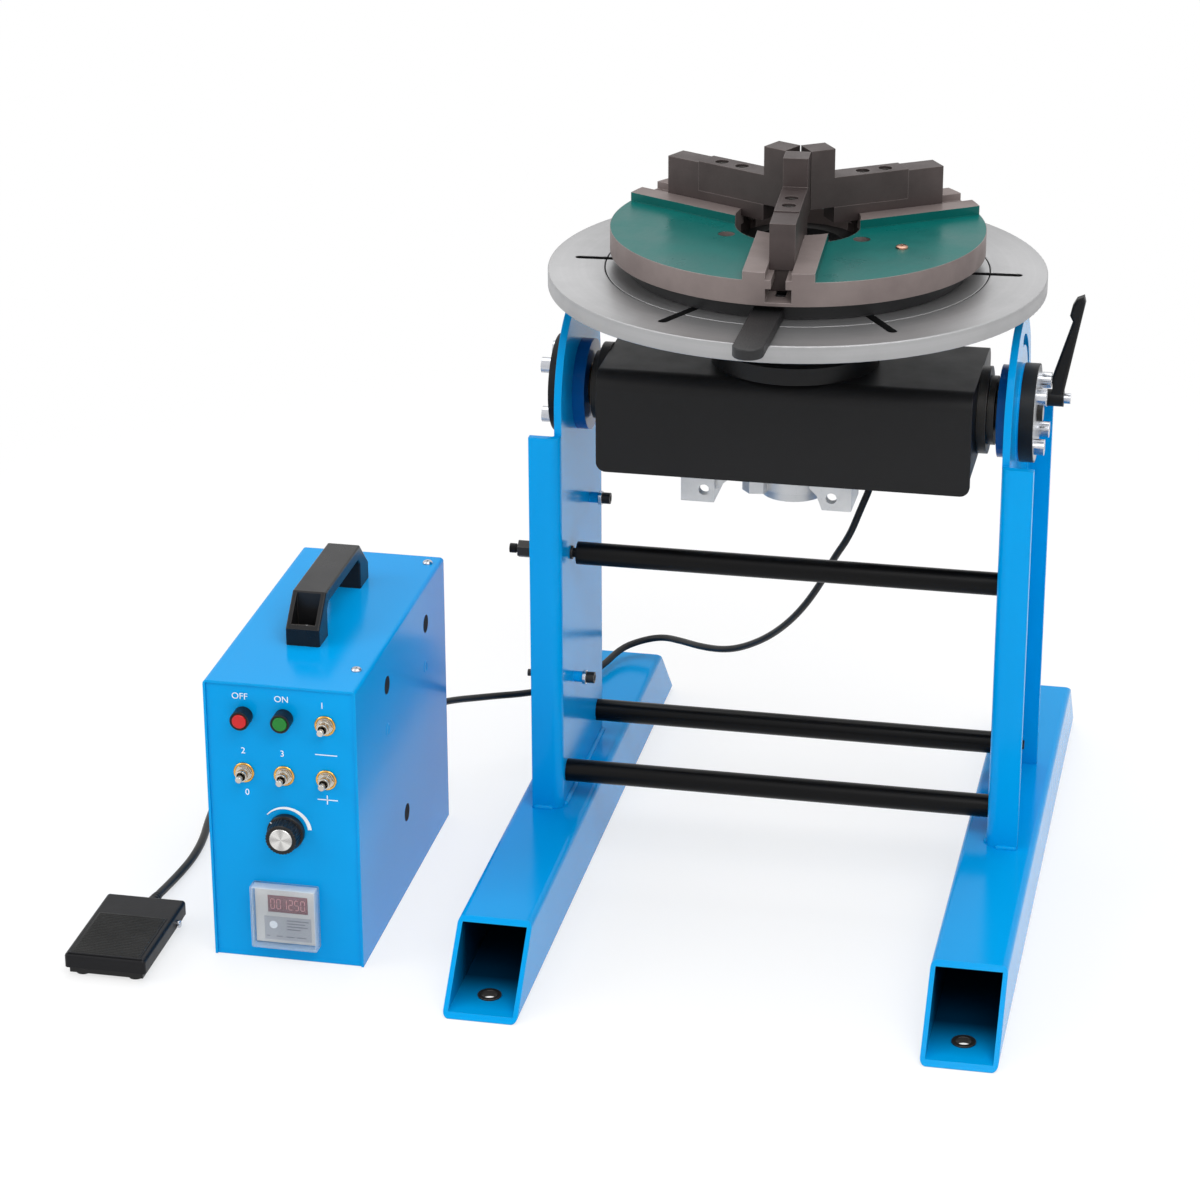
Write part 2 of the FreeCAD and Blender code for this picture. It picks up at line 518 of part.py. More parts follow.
# ---------------------------------------------------------------- turntable
# the faceplate: turned disc, six round-ended radial slots, one fine ring groove
disc = rod("tableRad", "tableThick", "0", "tiltY", "tableTop - tableThick")
disc = rounded(disc, 0.8, lambda p, t: True)
slotTools = []
for index in range(int(v("slotCount"))):
    angle = v("tableTurn") + 360.0 / v("slotCount") * index
    way = ((0, 0, 1), angle)
    tool = block("slotOut - slotIn - slotWide", "slotWide", "tableThick + 2",
                 "(slotIn + slotWide / 2) * cos(%.3f) + slotWide / 2 * sin(%.3f)" % (angle, angle),
                 "tiltY + (slotIn + slotWide / 2) * sin(%.3f) - slotWide / 2 * cos(%.3f)" % (angle, angle),
                 "tableTop - tableThick - 1", way)
    slotTools.append(tool)
    for reach in ("slotIn + slotWide / 2", "slotOut - slotWide / 2"):
        slotTools.append(rod("slotWide / 2", "tableThick + 2", "(%s) * cos(%.3f)" % (reach, angle),
                             "tiltY + (%s) * sin(%.3f)" % (reach, angle), "tableTop - tableThick - 1"))
groove = cut(rod("grooveRad + 0.6", "2", "0", "tiltY", "tableTop - 0.8"),
             rod("grooveRad - 0.6", "4", "0", "tiltY", "tableTop - 1"))
tableHoles = [rod("4.3", "tableThick + 2", "42 * cos(%d)" % angle, "tiltY + 42 * sin(%d)" % angle,
                  "tableTop - tableThick - 1") for angle in (45, 135, 225, 315)]
tableSinks = [rod("7.3", "9", "42 * cos(%d)" % angle, "tiltY + 42 * sin(%d)" % angle, "tableTop - 8.5")
              for angle in (45, 135, 225, 315)]
tableBolts = [rod("chuckBoltHole - 0.8", "11", "chuckBoltRad * cos(%.3f)" % angle,
                  "tiltY + chuckBoltRad * sin(%.3f)" % angle, "tableTop - 10")
              for angle in (v("tableTurn") - 30, v("tableTurn") + 90, v("tableTurn") + 210)]
table = cut(disc, rod("tableBore", "tableThick + 2", "0", "tiltY", "tableTop - tableThick - 1"), groove,
            *(slotTools + tableHoles + tableSinks + tableBolts))
keep(table, "faceplate")

# the spindle: flange under the faceplate, hollow shaft down to the worm wheel
spindle = join(rod("spindleFlangeRad", "spindleFlangeThick", "0", "tiltY",
                   "tableTop - tableThick - spindleFlangeThick"),
               rod("tableBore - 0.05", "6", "0", "tiltY", "tableTop - tableThick"),
               rod("spindleRad", "tableTop - tableThick - wormZ - wheelThick / 2 - 6", "0", "tiltY",
                   "wormZ + wheelThick / 2 + 6"),
               rod("spindleRad - 8", "tableTop - tableThick - spindleLow", "0", "tiltY", "spindleLow"))
spindle = cut(spindle, rod("spindleBore", "260", "0", "tiltY", "spindleLow - 10"),
              *[rod("4.1", "30", "42 * cos(%d)" % angle, "tiltY + 42 * sin(%d)" % angle, "tableTop - tableThick - 20")
                for angle in (45, 135, 225, 315)])
keep(spindle, "spindle")
group("faceplate_screws", [
    join(rod("4", "20", "42 * cos(%d)" % angle, "tiltY + 42 * sin(%d)" % angle, "tableTop - 26"),
         cut(rod("6.5", "8", "42 * cos(%d)" % angle, "tiltY + 42 * sin(%d)" % angle, "tableTop - 8.5"),
             hexBar("3", "5", "42 * cos(%d)" % angle, "tiltY + 42 * sin(%d)" % angle, "tableTop - 4.5")))
    for angle in (45, 135, 225, 315)])
keep(cut(rod("wheelRad", "wheelThick", "0", "tiltY", "wormZ - wheelThick / 2"),
         rod("spindleRad - 8", "wheelThick + 2", "0", "tiltY", "wormZ - wheelThick / 2 - 1")), "worm_wheel")

# ---------------------------------------------------------------- chuck
# fixed disc between the faceplate and the chuck body, inside the scroll
keep(cut(rod("spacerRad", "chuckLow - tableTop", "0", "tiltY", "tableTop"),
         rod("tableBore", "20", "0", "tiltY", "tableTop - 1"),
         *[rod("chuckBoltHole", "20", "chuckBoltRad * cos(%.3f)" % angle, "tiltY + chuckBoltRad * sin(%.3f)" % angle,
               "tableTop - 1") for angle in (v("tableTurn") - 30, v("tableTurn") + 90, v("tableTurn") + 210)]),
     "chuck_spacer")

jawAngles = [v("tableTurn") - 90 + 120 * index for index in range(3)]


def bar(low, high, wide, bottom, top):
    return block("%s - (%s)" % (high, low), wide, "%s - (%s)" % (top, bottom), low, "tiltY - (%s) / 2" % wide,
                 bottom)


# chuck body: deck, three raised guide rails, T-guides with a slit below for the jaw teeth
deck = rod("chuckRad", "chuckDeck - chuckLow", "0", "tiltY", "chuckLow")
railRound = rod("chuckRad", "railTop - chuckLow", "0", "tiltY", "chuckLow")
rails = []
chuckTools = [rod("chuckBore", "40", "0", "tiltY", "chuckLow - 1")]
for angle in jawAngles:
    rail = doc.addObject("Part::Common", "rail")
    rail.Base = railRound
    rail.Tool = turnAbout(bar("20", "chuckRad + 5", "railWide", "chuckLow + 2", "railTop"), angle)
    rails.append(rail)
    for wide, bottom, top in (("guideWide", "lipTop", "railTop + 2"), ("lipWide", "lipLow - 1", "lipTop + 1"),
                              ("guideWide", "guideLow", "lipLow")):
        chuckTools.append(turnAbout(bar("20", "chuckRad + 5", wide, bottom, top), angle))
    chuckTools.append(turnAbout(bar("toothRad - 6", "scrollOut - 2", "toothLong + 1.4", "chuckLow - 1",
                                    "guideLow + 1"), angle))
    x = "chuckBoltRad * cos(%.3f)" % (angle + 60)
    y = "tiltY + chuckBoltRad * sin(%.3f)" % (angle + 60)
    chuckTools.append(rod("chuckBoltHole", "40", x, y, "chuckLow - 1"))
    chuckTools.append(rod("6.8", "30", x, y, "chuckDeck - 9"))
keep(cut(join(deck, *rails), *chuckTools), "chuck_body")

# rubber dust ring round the chuck bore, standing on the spacer
keep(cut(rod("chuckBore - 0.2", "6.5", "0", "tiltY", "chuckLow"), rod("36", "8", "0", "tiltY", "chuckLow - 0.5")),
     "dust_ring")


def spiralFace(start, pitch, quarters, wide):
    # groove outline made of quarter arcs about the corners of a square with side pitch / 4
    half = pitch / 8
    edges = []
    ends = []
    for offset in (wide / 2, -wide / 2):
        side = []
        for index in range(quarters):
            low = math.radians(90 * index)
            centre = FreeCAD.Vector(-half * math.cos(low) - half * math.sin(low),
                                    half * math.cos(low) - half * math.sin(low), 0)
            reach = start + half + offset + 2 * half * index
            arc = Part.Arc(*[centre + FreeCAD.Vector(reach * math.cos(low + step), reach * math.sin(low + step), 0)
                             for step in (0, math.pi / 4, math.pi / 2)])
            side.append(arc)
        edges += side
        ends.append((side[0].StartPoint, side[-1].EndPoint))
    edges.append(Part.LineSegment(ends[0][0], ends[1][0]))
    edges.append(Part.LineSegment(ends[0][1], ends[1][1]))
    wire = Part.Wire(Part.__sortEdges__([edge.toShape() for edge in edges]))
    return Part.Face(wire)


# scroll ring: spiral groove opening clockwise, so turning it anticlockwise spreads the jaws
groove = doc.addObject("Part::Feature", "spiralGroove")
solid = spiralFace(v("scrollStart"), v("scrollPitch"), int(v("scrollQuarters")), v("grooveWide"))
solid = solid.extrude(FreeCAD.Vector(0, 0, v("grooveDeep") + 2)).mirror(FreeCAD.Vector(), FreeCAD.Vector(0, 1, 0))
solid.rotate(FreeCAD.Vector(), FreeCAD.Vector(0, 0, 1), jawAngles[0] + 90)
groove.Shape = solid
place(groove, "0", "tiltY", "scrollTop - grooveDeep")
leverAngle = v("tableTurn") - 93.5
leverSlot = turnAbout(bar("scrollOut - 24", "scrollOut + 5", "scrollLeverWide", "scrollLow - 1",
                          "scrollTop - grooveDeep - 0.8"), leverAngle)
ringDisc = cut(rod("scrollOut", "scrollTop - scrollLow", "0", "tiltY", "scrollLow"),
               rod("scrollIn", "30", "0", "tiltY", "scrollLow - 5"), groove, leverSlot)
keep(ringDisc, "scroll_ring")

# scroll lever: flat bar let into the ring from below, round-ended
tongue = bar("scrollOut - 24", "scrollOut + 2", "scrollLeverWide", "scrollLow + 0.4", "scrollTop - grooveDeep - 0.8")
grip = bar("scrollOut", "scrollLeverEnd", "scrollLeverWide", "scrollLow + 0.4", "scrollLow + 0.4 + scrollLeverThick")
nose = rod("scrollLeverWide / 2", "scrollLeverThick", "scrollLeverEnd", "tiltY", "scrollLow + 0.4")
lever = turnAbout(rounded(join(tongue, grip, nose), 1.2, lambda p, t: p.x > v("scrollLeverEnd") + 1 and
                          abs(t.z) < 0.1), leverAngle)
keep(lever, "scroll_lever")

# jaws: each a slide with a T-foot and two scroll teeth, and a top jaw screwed on it
for index, angle in enumerate(jawAngles):
    phase = -120.0 * index / 360 * v("scrollPitch") % v("scrollPitch")
    slide = [bar("jawStep", "jawOut", "jawWide", "lipTop + 0.3", "jawSeat"),
             bar("jawSeam", "jawOut", "jawWide", "jawSeat - 1", "jawBarTop - 1"),
             bar("chuckBore + 4", "jawOut - 2", "jawNeckWide", "lipLow - 1", "lipTop + 1"),
             bar("chuckBore + 4", "jawOut - 2", "guideWide - 0.4", "guideLow + 0.3", "lipLow - 0.3")]
    for tooth in (0, 1):
        reach = "toothRad + %.4f + %d * scrollPitch" % (phase, tooth)
        slide.append(bar("%s - toothWide / 2" % reach, "%s + toothWide / 2" % reach, "toothLong",
                         "scrollTop - grooveDeep + 0.4", "guideLow + 1"))
    screwSeats = ("(jawStep + jawSeam) / 2 - 3.5", "(jawStep + jawSeam) / 2 + 16.5")
    tapped = [rod("3.3", "12", reach, "tiltY", "jawSeat - 11") for reach in screwSeats]
    keep(turnAbout(cut(join(*slide), *tapped), angle), "jaw_slide_%d" % (index + 1))
    top = join(bar("jawStep - 1", "jawSeam", "jawWide", "jawSeat", "jawBarTop"),
               bar("jawTip", "jawStep", "jawWide", "jawSeat", "jawTipTop"))
    drills = []
    for reach in screwSeats:
        drills.append(rod("4.2", "40", reach, "tiltY", "jawSeat - 1"))
        drills.append(rod("5.6", "20", reach, "tiltY", "jawBarTop - 8"))
    keep(turnAbout(cut(top, *drills), angle), "jaw_top_%d" % (index + 1))

# ---------------------------------------------------------------- control box
boxLeft = "boxX - boxWide / 2"
panel = "boxFront + 1.5"
inner = "boxWide - 2 * boxSheet"
cover = cut(rounded(block("boxWide", "boxDeep", "boxHigh", boxLeft, "boxFront", "0"), 3.2,
                    lambda p, t: abs(t.y) > 0.9 and p.z > 100),
            rounded(block(inner, "boxDeep + 2", "boxHigh - boxSheet + 1", "%s + boxSheet" % boxLeft, "boxFront - 1",
                          "-1"), 1.2, lambda p, t: abs(t.y) > 0.9 and p.z > 100),
            *[rod("3.3", "8", "boxX + boxWide / 2 - 4", y, z, alongX)
              for y, z in (("-166", "207"), ("-40", "208"), ("-115", "69"))])
handleFront = "boxFront + 79"
handleScrews = [("handleX", "%s + 12" % handleFront), ("handleX", "%s + handleLong - 12" % handleFront)]
cover = cut(cover, *[rod("2.2", "8", x, y, "boxHigh - 5") for x, y in handleScrews])
keep(cover, "box_cover")
buttons = [("32", "213.5"), ("65", "214")]
toggles = [("98.5", "210.5"), ("30.5", "164"), ("63.5", "164"), ("98", "163.5")]
knobAt = ("64", "116")
counterAt = ("61", "41")
chassis = join(block(inner, "boxDeep - 5", "boxSheet", "%s + boxSheet" % boxLeft, panel, "0"),
               block(inner, "boxSheet", "boxHigh - boxSheet", "%s + boxSheet" % boxLeft, panel, "0"),
               block(inner, "boxSheet", "boxHigh - boxSheet", "%s + boxSheet" % boxLeft, "%s + boxDeep - 7" % panel,
                     "0"))
holes = []
for across, up in buttons:
    holes.append(rod("bezelRad - 1.3", "12", "%s + %s" % (boxLeft, across), "%s - 5" % panel, up, alongY))
for across, up in toggles:
    holes.append(rod("toggleRad - 0.6", "12", "%s + %s" % (boxLeft, across), "%s - 5" % panel, up, alongY))
holes.append(rod("4.5", "12", "%s + %s" % (boxLeft, knobAt[0]), "%s - 5" % panel, knobAt[1], alongY))
holes.append(block("counterSide - 5", "12", "counterSide - 5", "%s + %s - counterSide / 2 + 2.5" %
                   (boxLeft, counterAt[0]), "%s - 5" % panel, "%s - counterSide / 2 + 2.5" % counterAt[1]))
backFace = "%s + boxDeep - 5" % panel
glands = [("-320", "90"), ("-395", "40")]
for x, z in glands:
    holes.append(rod("6", "12", x, "%s - 6" % backFace, z, alongY))
holes.append(block("28", "12", "20", "boxX - 14", "%s - 6" % backFace, "170"))
chassis = rounded(cut(chassis, *holes), 1.3, lambda p, t: abs(t.y) > 0.9 and p.z > v("boxHigh") - 3 and
                  abs(abs(p.x - v("boxX")) - v("boxWide") / 2 + 2) < 0.1)
keep(chassis, "box_chassis")

# bridge handle on top: both ends slope down to a low nose, and a deep pocket in each slope takes a screw
side = outlineBody("handleSide", "YZ_Plane", [
    ("0", "0"), ("0", "handleNose"), ("handleFoot - 2", "handleHigh"), ("handleLong - handleFoot + 2", "handleHigh"),
    ("handleLong", "handleNose"), ("handleLong", "0"), ("handleLong - handleFoot", "0"),
    ("handleLong - handleFoot", "handleHigh - handleBar - 5"),
    ("handleLong - handleFoot - 5", "handleHigh - handleBar"), ("handleFoot + 5", "handleHigh - handleBar"),
    ("handleFoot", "handleHigh - handleBar - 5"), ("handleFoot", "0")], "handleWide", both=True, x="handleX",
    y=handleFront, z="boxHigh")
side = rounded(side, 1.5, lambda p, t: abs(t.x) < 0.01 and abs(abs(p.x - v("handleX")) - v("handleWide") / 2) < 0.1 and
               p.z > v("boxHigh") + 1)
grips = []
for (x, y), back in zip(handleScrews, (0, 1)):
    start = "%s + 3" % handleFront if not back else "%s + handleLong - 3 - (handleFoot - 6)" % handleFront
    grips.append(block("handlePocket", "handleFoot - 6", "60", "handleX - handlePocket / 2", start, "boxHigh + 4"))
    grips.append(rod("2.2", "60", x, y, "boxHigh - 1"))
keep(cut(side, *grips), "carry_handle")

# push buttons: ring and barrel fixed in the panel, the cap sliding in it
barrels = []
for (across, up), name in zip(buttons, ("red_button", "green_button")):
    x = "%s + %s" % (boxLeft, across)
    ring = join(rod("bezelRad", "bezelLong", x, "%s - bezelLong" % panel, up, alongY),
                rod("bezelRad - 1.35", "bezelLong + 26", x, "%s - bezelLong" % panel, up, alongY))
    barrels.append(cut(ring, rod("buttonRad + 0.3", "bezelLong - 2.5", x, "%s - bezelLong" % panel, up, alongY),
                       rod("2.6", "60", x, "%s - bezelLong - 5" % panel, up, alongY)))
    cap = join(rod("buttonRad", "6", x, "%s - bezelLong - 1" % panel, up, alongY),
               rod("2.5", "26", x, "%s - bezelLong" % panel, up, alongY))
    keep(rounded(cap, 0.8, lambda p, t: p.y < v("boxFront") - 11 and abs(t.x) + abs(t.z) > 0.5), name)
group("button_bezels", barrels)

# toggle switches and the speed potentiometer behind the panel, their bushes through it
switches = []
for index, (across, up) in enumerate(toggles):
    x = "%s + %s" % (boxLeft, across)
    bush = join(rod("toggleRad - 0.65", "11", x, "%s - 9" % panel, up, alongY),
                rod("toggleWasherRad", "0.9", x, "%s - 0.9" % panel, up, alongY),
                hexBar("toggleRad + 0.4", "3.4", x, "%s - 3.4" % panel, up, alongY),
                block("13", "16", "20", "%s - 6.5" % x, "%s + boxSheet" % panel, "%s - 10" % up))
    switches.append(cut(bush, rod("toggleBallRad + 0.2", "13.5", x, "%s - 10" % panel, up, alongY)))
    ball = doc.addObject("Part::Sphere", "ball")
    bind(ball, Radius="toggleBallRad")
    place(ball, x, "%s - 4.5" % panel, up)
    stem = join(ball, taper("1.9", "2.8", "11.5", x, "%s - 4.5" % panel, up, alongFrontY))
    keep(rounded(stem, 0.8, lambda p, t: p.y < v("boxFront") - 12), "toggle_lever_%d" % (index + 1))
x = "%s + %s" % (boxLeft, knobAt[0])
pot = join(rod("9", "12", x, "%s + boxSheet" % panel, knobAt[1], alongY),
           rod("4.4", "9", x, "%s - 5" % panel, knobAt[1], alongY))
switches.append(cut(pot, rod("3.05", "30", x, "%s - 10" % panel, knobAt[1], alongY)))
group("switch_bodies", switches)
knob = join(rod("knobRad", "knobLong * 0.35", x, "%s - knobGap - knobLong * 0.35" % panel, knobAt[1], alongY),
            taper("knobRad - 1.4", "knobRad - 2.4", "knobLong * 0.65", x, "%s - knobGap - knobLong * 0.35" % panel,
                  knobAt[1], alongFrontY),
            rod("3", "knobLong + 6", x, "%s - knobLong + 2" % panel, knobAt[1], alongY))
recess = cut(rod("6.5", "6.5", x, "%s - 6.5" % panel, knobAt[1], alongY),
             rod("3", "12", x, "%s - 8" % panel, knobAt[1], alongY))
keep(cut(knob, recess), "speed_knob")

# counter in its panel opening, under a clear moulded cover
x = "%s + %s" % (boxLeft, counterAt[0])
keep(join(block("counterSide", "3", "counterSide", "%s - counterSide / 2" % x, "%s - 3" % panel,
                "%s - counterSide / 2" % counterAt[1]),
          block("counterSide - 5.4", "62", "counterSide - 5.4", "%s - counterSide / 2 + 2.7" % x, "%s - 1" % panel,
                "%s - counterSide / 2 + 2.7" % counterAt[1])), "counter")
shell = block("coverSide", "coverDeep", "coverSide", "%s - coverSide / 2" % x, "%s - coverDeep" % panel,
              "%s - coverSide / 2" % counterAt[1])
shell = rounded(shell, 2, lambda p, t: abs(t.y) > 0.9 or p.y < v("boxFront") - 5)
keep(cut(shell, block("coverSide - 2 * coverWall", "coverDeep", "coverSide - 2 * coverWall",
                      "%s - coverSide / 2 + coverWall" % x, "%s - coverDeep + coverWall" % panel,
                      "%s - coverSide / 2 + coverWall" % counterAt[1])), "counter_cover")

# motor driver on the base plate: board on pillars, transformer, heat sink, capacitors
board = [block("96", "160", "1.6", "boxX - 48", "-170", "boxSheet + 8"),
         block("44", "50", "42", "boxX - 42", "-160", "boxSheet + 9.6"),
         block("10", "80", "36", "boxX + 30", "-120", "boxSheet + 9.6")]
for a in (-42, 42):
    for b in (-164, -16):
        board.append(rod("3", "8", "boxX + %d" % a, "%d" % b, "boxSheet"))
for b in (-90, -60):
    board.append(rod("9", "28", "boxX - 20", "%d" % b, "boxSheet + 9.6"))
keep(join(*board), "driver_board")
inlets = [join(block("44", "3", "28", "boxX - 22", backFace, "166"),
               block("27.6", "32", "19.6", "boxX - 13.8", "%s - 30" % backFace, "170.2"))]
for (x, z), radius in zip(glands, ("motorCordRad", "pedalCordRad")):
    gland = join(hexBar("8.6", "5", x, backFace, z, alongY), rod("7.4", "11.5", x, backFace, z, alongY),
                 rod("5.9", "16", x, "%s - 8" % backFace, z, alongY), hexBar("8.6", "4", x, "%s - 6" % backFace, z,
                                                                             alongY))
    inlets.append(cut(gland, rod("%s - 0.8" % radius, "7.5", x, "%s - 9" % backFace, z, alongY)))
group("back_fittings", inlets)

# ---------------------------------------------------------------- foot switch
pedalLeft = "pedalX - pedalWide / 2"
tub = cut(block("pedalWide - 6.5", "pedalDeep - 4.25", "9.2", "%s + 3.25" % pedalLeft, "pedalFront + 3.25",
                "pedalFoot"),
          block("pedalWide - 11.5", "pedalDeep - 9.25", "20", "%s + 5.75" % pedalLeft, "pedalFront + 5.75",
                "pedalFoot + 2.5"))
ears = [block("2.5", "16", "11", x, "pinY - 8", "pedalFoot + 0.5")
        for x in ("%s + 3.25" % pedalLeft, "%s + pedalWide - 5.75" % pedalLeft)]
cordSeat = rod("5", "6.3", "pedalX", "pedalFront + pedalDeep - 3", "pedalFoot + 5.5", alongY)
tub = cut(join(tub, *(ears + [cordSeat])), rod("pinRad + 0.02", "90", "pedalX - 45", "pinY", "pinZ", alongX))
keep(tub, "pedal_base")
keep(rod("pinRad", "pedalWide + 3", "pedalX - pedalWide / 2 - 1.5", "pinY", "pinZ", alongX), "pedal_pin")
group("pedal_feet", [cut(rod("6", "pedalFoot", "pedalX + %d" % a, b, "0"), rod("2", "1.5", "pedalX + %d" % a, b, "-0.1"))
                     for a in (-22, 22) for b in ("pedalFront + 12", "pedalFront + pedalDeep - 12")])
keep(cut(block("24", "34", "8.8", "pedalX - 12", "-290", "pedalFoot + 2.5"),
         rod("4", "9", "pedalX", "-273", "pedalFoot + 4")), "pedal_switch")
tread = cut(rounded(block("pedalWide", "pedalDeep", "pedalTop - 8.5", pedalLeft, "pedalFront", "8.5"), 3,
                    lambda p, t: abs(t.z) > 0.9 or p.z > 19),
            block("pedalWide - 4", "pedalDeep + 2", "pedalTop - 8.5 - 2 + 1", "%s + 2" % pedalLeft, "pedalFront + 2",
                  "7.5"),
            rod("pinRad + 0.1", "90", "pedalX - 45", "pinY", "pinZ", alongX))
keep(join(tread, rod("3", "6", "pedalX", "-273", "pedalTop - 7")), "pedal_tread")

# ---------------------------------------------------------------- cords
def cord(label, spots, radius):
    # straight runs joined by tangent arcs along hand-set route points
    points = [FreeCAD.Vector(*spot) for spot in spots]
    here = points[0]
    edges = []
    smallest = 1e9
    for before, corner, after in zip(points, points[1:], points[2:]):
        back = before - corner
        ahead = after - corner
        reach = 0.45 * min(back.Length, ahead.Length)
        back.normalize()
        ahead.normalize()
        half = (math.pi - back.getAngle(ahead)) / 2
        bend = reach / math.tan(half)
        smallest = min(smallest, bend)
        inward = (back + ahead).normalize()
        middle = corner + inward * (bend / math.cos(half) - bend)
        edges.append(Part.LineSegment(here, corner + back * reach))
        edges.append(Part.Arc(corner + back * reach, middle, corner + ahead * reach))
        here = corner + ahead * reach
        print("%s bend at %s: radius %.1f, turn %.0f" % (label, tuple(corner), bend, math.degrees(2 * half)))
    edges.append(Part.LineSegment(here, points[-1]))
    path = Part.Wire([edge.toShape() for edge in edges])
    section = Part.Wire(Part.makeCircle(radius, points[0], points[1] - points[0]))
    thing = doc.addObject("Part::Feature", "cord")
    thing.Shape = path.makePipeShell([section], True, False)
    share = thing.Shape.Volume / (math.pi * radius ** 2 * path.Length)
    print("%s: length %.0f, smallest radius %.1f, volume share %.4f" % (label, path.Length, smallest, share))
    return keep(thing, label)


cord("motor_cable", [
    (61, 57.5, 345), (61, 57.5, 326), (51.5, 54, 301), (42, 60, 274), (26, 75, 245), (14, 92, 215.5),
    (-8, 118, 176), (-33.8, 145, 142.7), (-60.7, 170, 118.5), (-84, 190, 104), (-110, 214, 94.5),
    (-134, 241, 87), (-155.6, 262.9, 80), (-176, 264, 74), (-192.3, 251.7, 70), (-202, 212.7, 67.5),
    (-217, 181, 66.8), (-240, 159, 65), (-262, 145, 65.2), (-280, 130, 68.5), (-294.5, 110, 74),
    (-304.5, 90, 80.5), (-313, 71, 86), (-320, 52, 90), (-320, 34, 90)], v("motorCordRad"))
cord("pedal_cable", [
    (-495.7, -209.7, 8.5), (-495.7, -192, 8.5), (-494.6, -165, 5.2), (-492, -133, 3.8), (-490.3, -105, 3.9),
    (-492.4, -72, 3.8), (-498.5, -38, 3.9), (-503, -4, 3.8), (-500, 30, 4), (-486, 60, 5.5), (-462, 78, 9),
    (-435, 84, 16), (-411, 76, 26), (-398, 58, 35), (-395, 46, 40), (-395, 34, 40)], v("pedalCordRad"))

dim.clear("D1")
doc.recompute()
faults = [thing.Label for thing in doc.Objects if "Invalid" in thing.State or "Error" in thing.State]
for thing in kept:
    if thing.Shape.isNull() or not thing.Shape.isValid() or not thing.Shape.Solids:
        faults.append("shape of " + thing.Label)
if faults:
    raise RuntimeError("not sound: " + ", ".join(faults))
os.makedirs("parts", exist_ok=True)
for thing in kept:
    thing.Shape.exportStep("parts/%s.step" % thing.Label)
print("%d sub-parts" % len(kept))
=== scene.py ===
import json
import math
import bmesh
import bpy
from mathutils import Matrix, Vector


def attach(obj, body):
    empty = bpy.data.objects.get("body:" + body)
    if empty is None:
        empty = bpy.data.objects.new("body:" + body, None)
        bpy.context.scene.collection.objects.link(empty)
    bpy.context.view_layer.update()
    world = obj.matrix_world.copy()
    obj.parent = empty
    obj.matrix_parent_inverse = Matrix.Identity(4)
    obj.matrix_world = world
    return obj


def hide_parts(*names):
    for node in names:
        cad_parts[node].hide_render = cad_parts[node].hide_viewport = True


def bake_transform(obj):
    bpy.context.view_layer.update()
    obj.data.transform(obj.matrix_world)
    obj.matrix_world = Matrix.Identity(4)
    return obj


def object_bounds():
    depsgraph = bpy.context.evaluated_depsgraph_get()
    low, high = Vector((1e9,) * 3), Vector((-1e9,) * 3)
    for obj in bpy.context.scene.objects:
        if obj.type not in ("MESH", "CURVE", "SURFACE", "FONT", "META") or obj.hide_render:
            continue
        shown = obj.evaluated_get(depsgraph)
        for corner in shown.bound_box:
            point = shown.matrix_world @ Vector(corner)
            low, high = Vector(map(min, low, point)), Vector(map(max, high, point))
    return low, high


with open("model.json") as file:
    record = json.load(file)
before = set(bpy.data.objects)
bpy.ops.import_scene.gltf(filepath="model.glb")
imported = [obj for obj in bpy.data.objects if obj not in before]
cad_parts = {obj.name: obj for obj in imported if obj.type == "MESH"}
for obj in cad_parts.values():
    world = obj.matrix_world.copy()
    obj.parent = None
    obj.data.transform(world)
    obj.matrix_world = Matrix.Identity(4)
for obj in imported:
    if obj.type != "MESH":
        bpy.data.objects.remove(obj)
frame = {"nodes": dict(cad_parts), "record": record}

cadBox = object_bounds()
scene = bpy.context.scene
scene.view_settings.view_transform = "Standard"
nodesHere = frame["nodes"]


def tone(red, green, blue):
    # a paint chip given 0 to 255, as the linear colour the shaders want
    chip = []
    for part in (red, green, blue):
        part = part / 255
        chip.append(part / 12.92 if part <= 0.04045 else ((part + 0.055) / 1.055) ** 2.4)
    return (*chip, 1.0)


viewpoint = {
    "place": (0.42518, -2.77850, 1.41645),
    "heading": 11.922,   # degrees the lens looks to the left of straight ahead
    "dip": 22.680,       # degrees below level
    "roll": -0.2545,
    "lens": 110.487,
    "shift": (0.00287, -0.00506),
}


def setCamera(view):
    heading = math.radians(view["heading"])
    dip = math.radians(view["dip"])
    roll = math.radians(view["roll"])
    ahead = Vector((-math.sin(heading) * math.cos(dip), math.cos(heading) * math.cos(dip), -math.sin(dip)))
    across = Vector((math.cos(heading), math.sin(heading), 0))
    upward = across.cross(ahead)
    side = across * math.cos(roll) + upward * math.sin(roll)
    top = upward * math.cos(roll) - across * math.sin(roll)
    lens = bpy.data.cameras.new("studioCamera")
    lens.lens = view["lens"]
    lens.sensor_width = 36
    lens.shift_x, lens.shift_y = view["shift"]
    lens.clip_end = 60
    camera = bpy.data.objects.new("studioCamera", lens)
    scene.collection.objects.link(camera)
    turn = Matrix((side, top, -ahead)).transposed().to_4x4()
    camera.matrix_world = Matrix.Translation(view["place"]) @ turn
    scene.camera = camera


setCamera(viewpoint)
print("camera set")


# small helpers that wire up the shader nodes; sizes in the finishes are metres, as the scene's
def startFinish(name, roughness=0.4, metallic=0.0, coat=0.0, specular=0.5):
    finish = bpy.data.materials.new(name)
    finish.use_nodes = True
    shader = finish.node_tree.nodes["Principled BSDF"]
    amounts = {"Roughness": roughness, "Metallic": metallic, "Coat Weight": coat, "Coat Roughness": 0.05,
               "Specular IOR Level": specular}
    for socket, amount in amounts.items():
        shader.inputs[socket].default_value = amount
    return finish, shader


def put(finish, kind, **values):
    node = finish.node_tree.nodes.new("ShaderNode" + kind)
    for name, value in values.items():
        setattr(node, name, value)
    return node


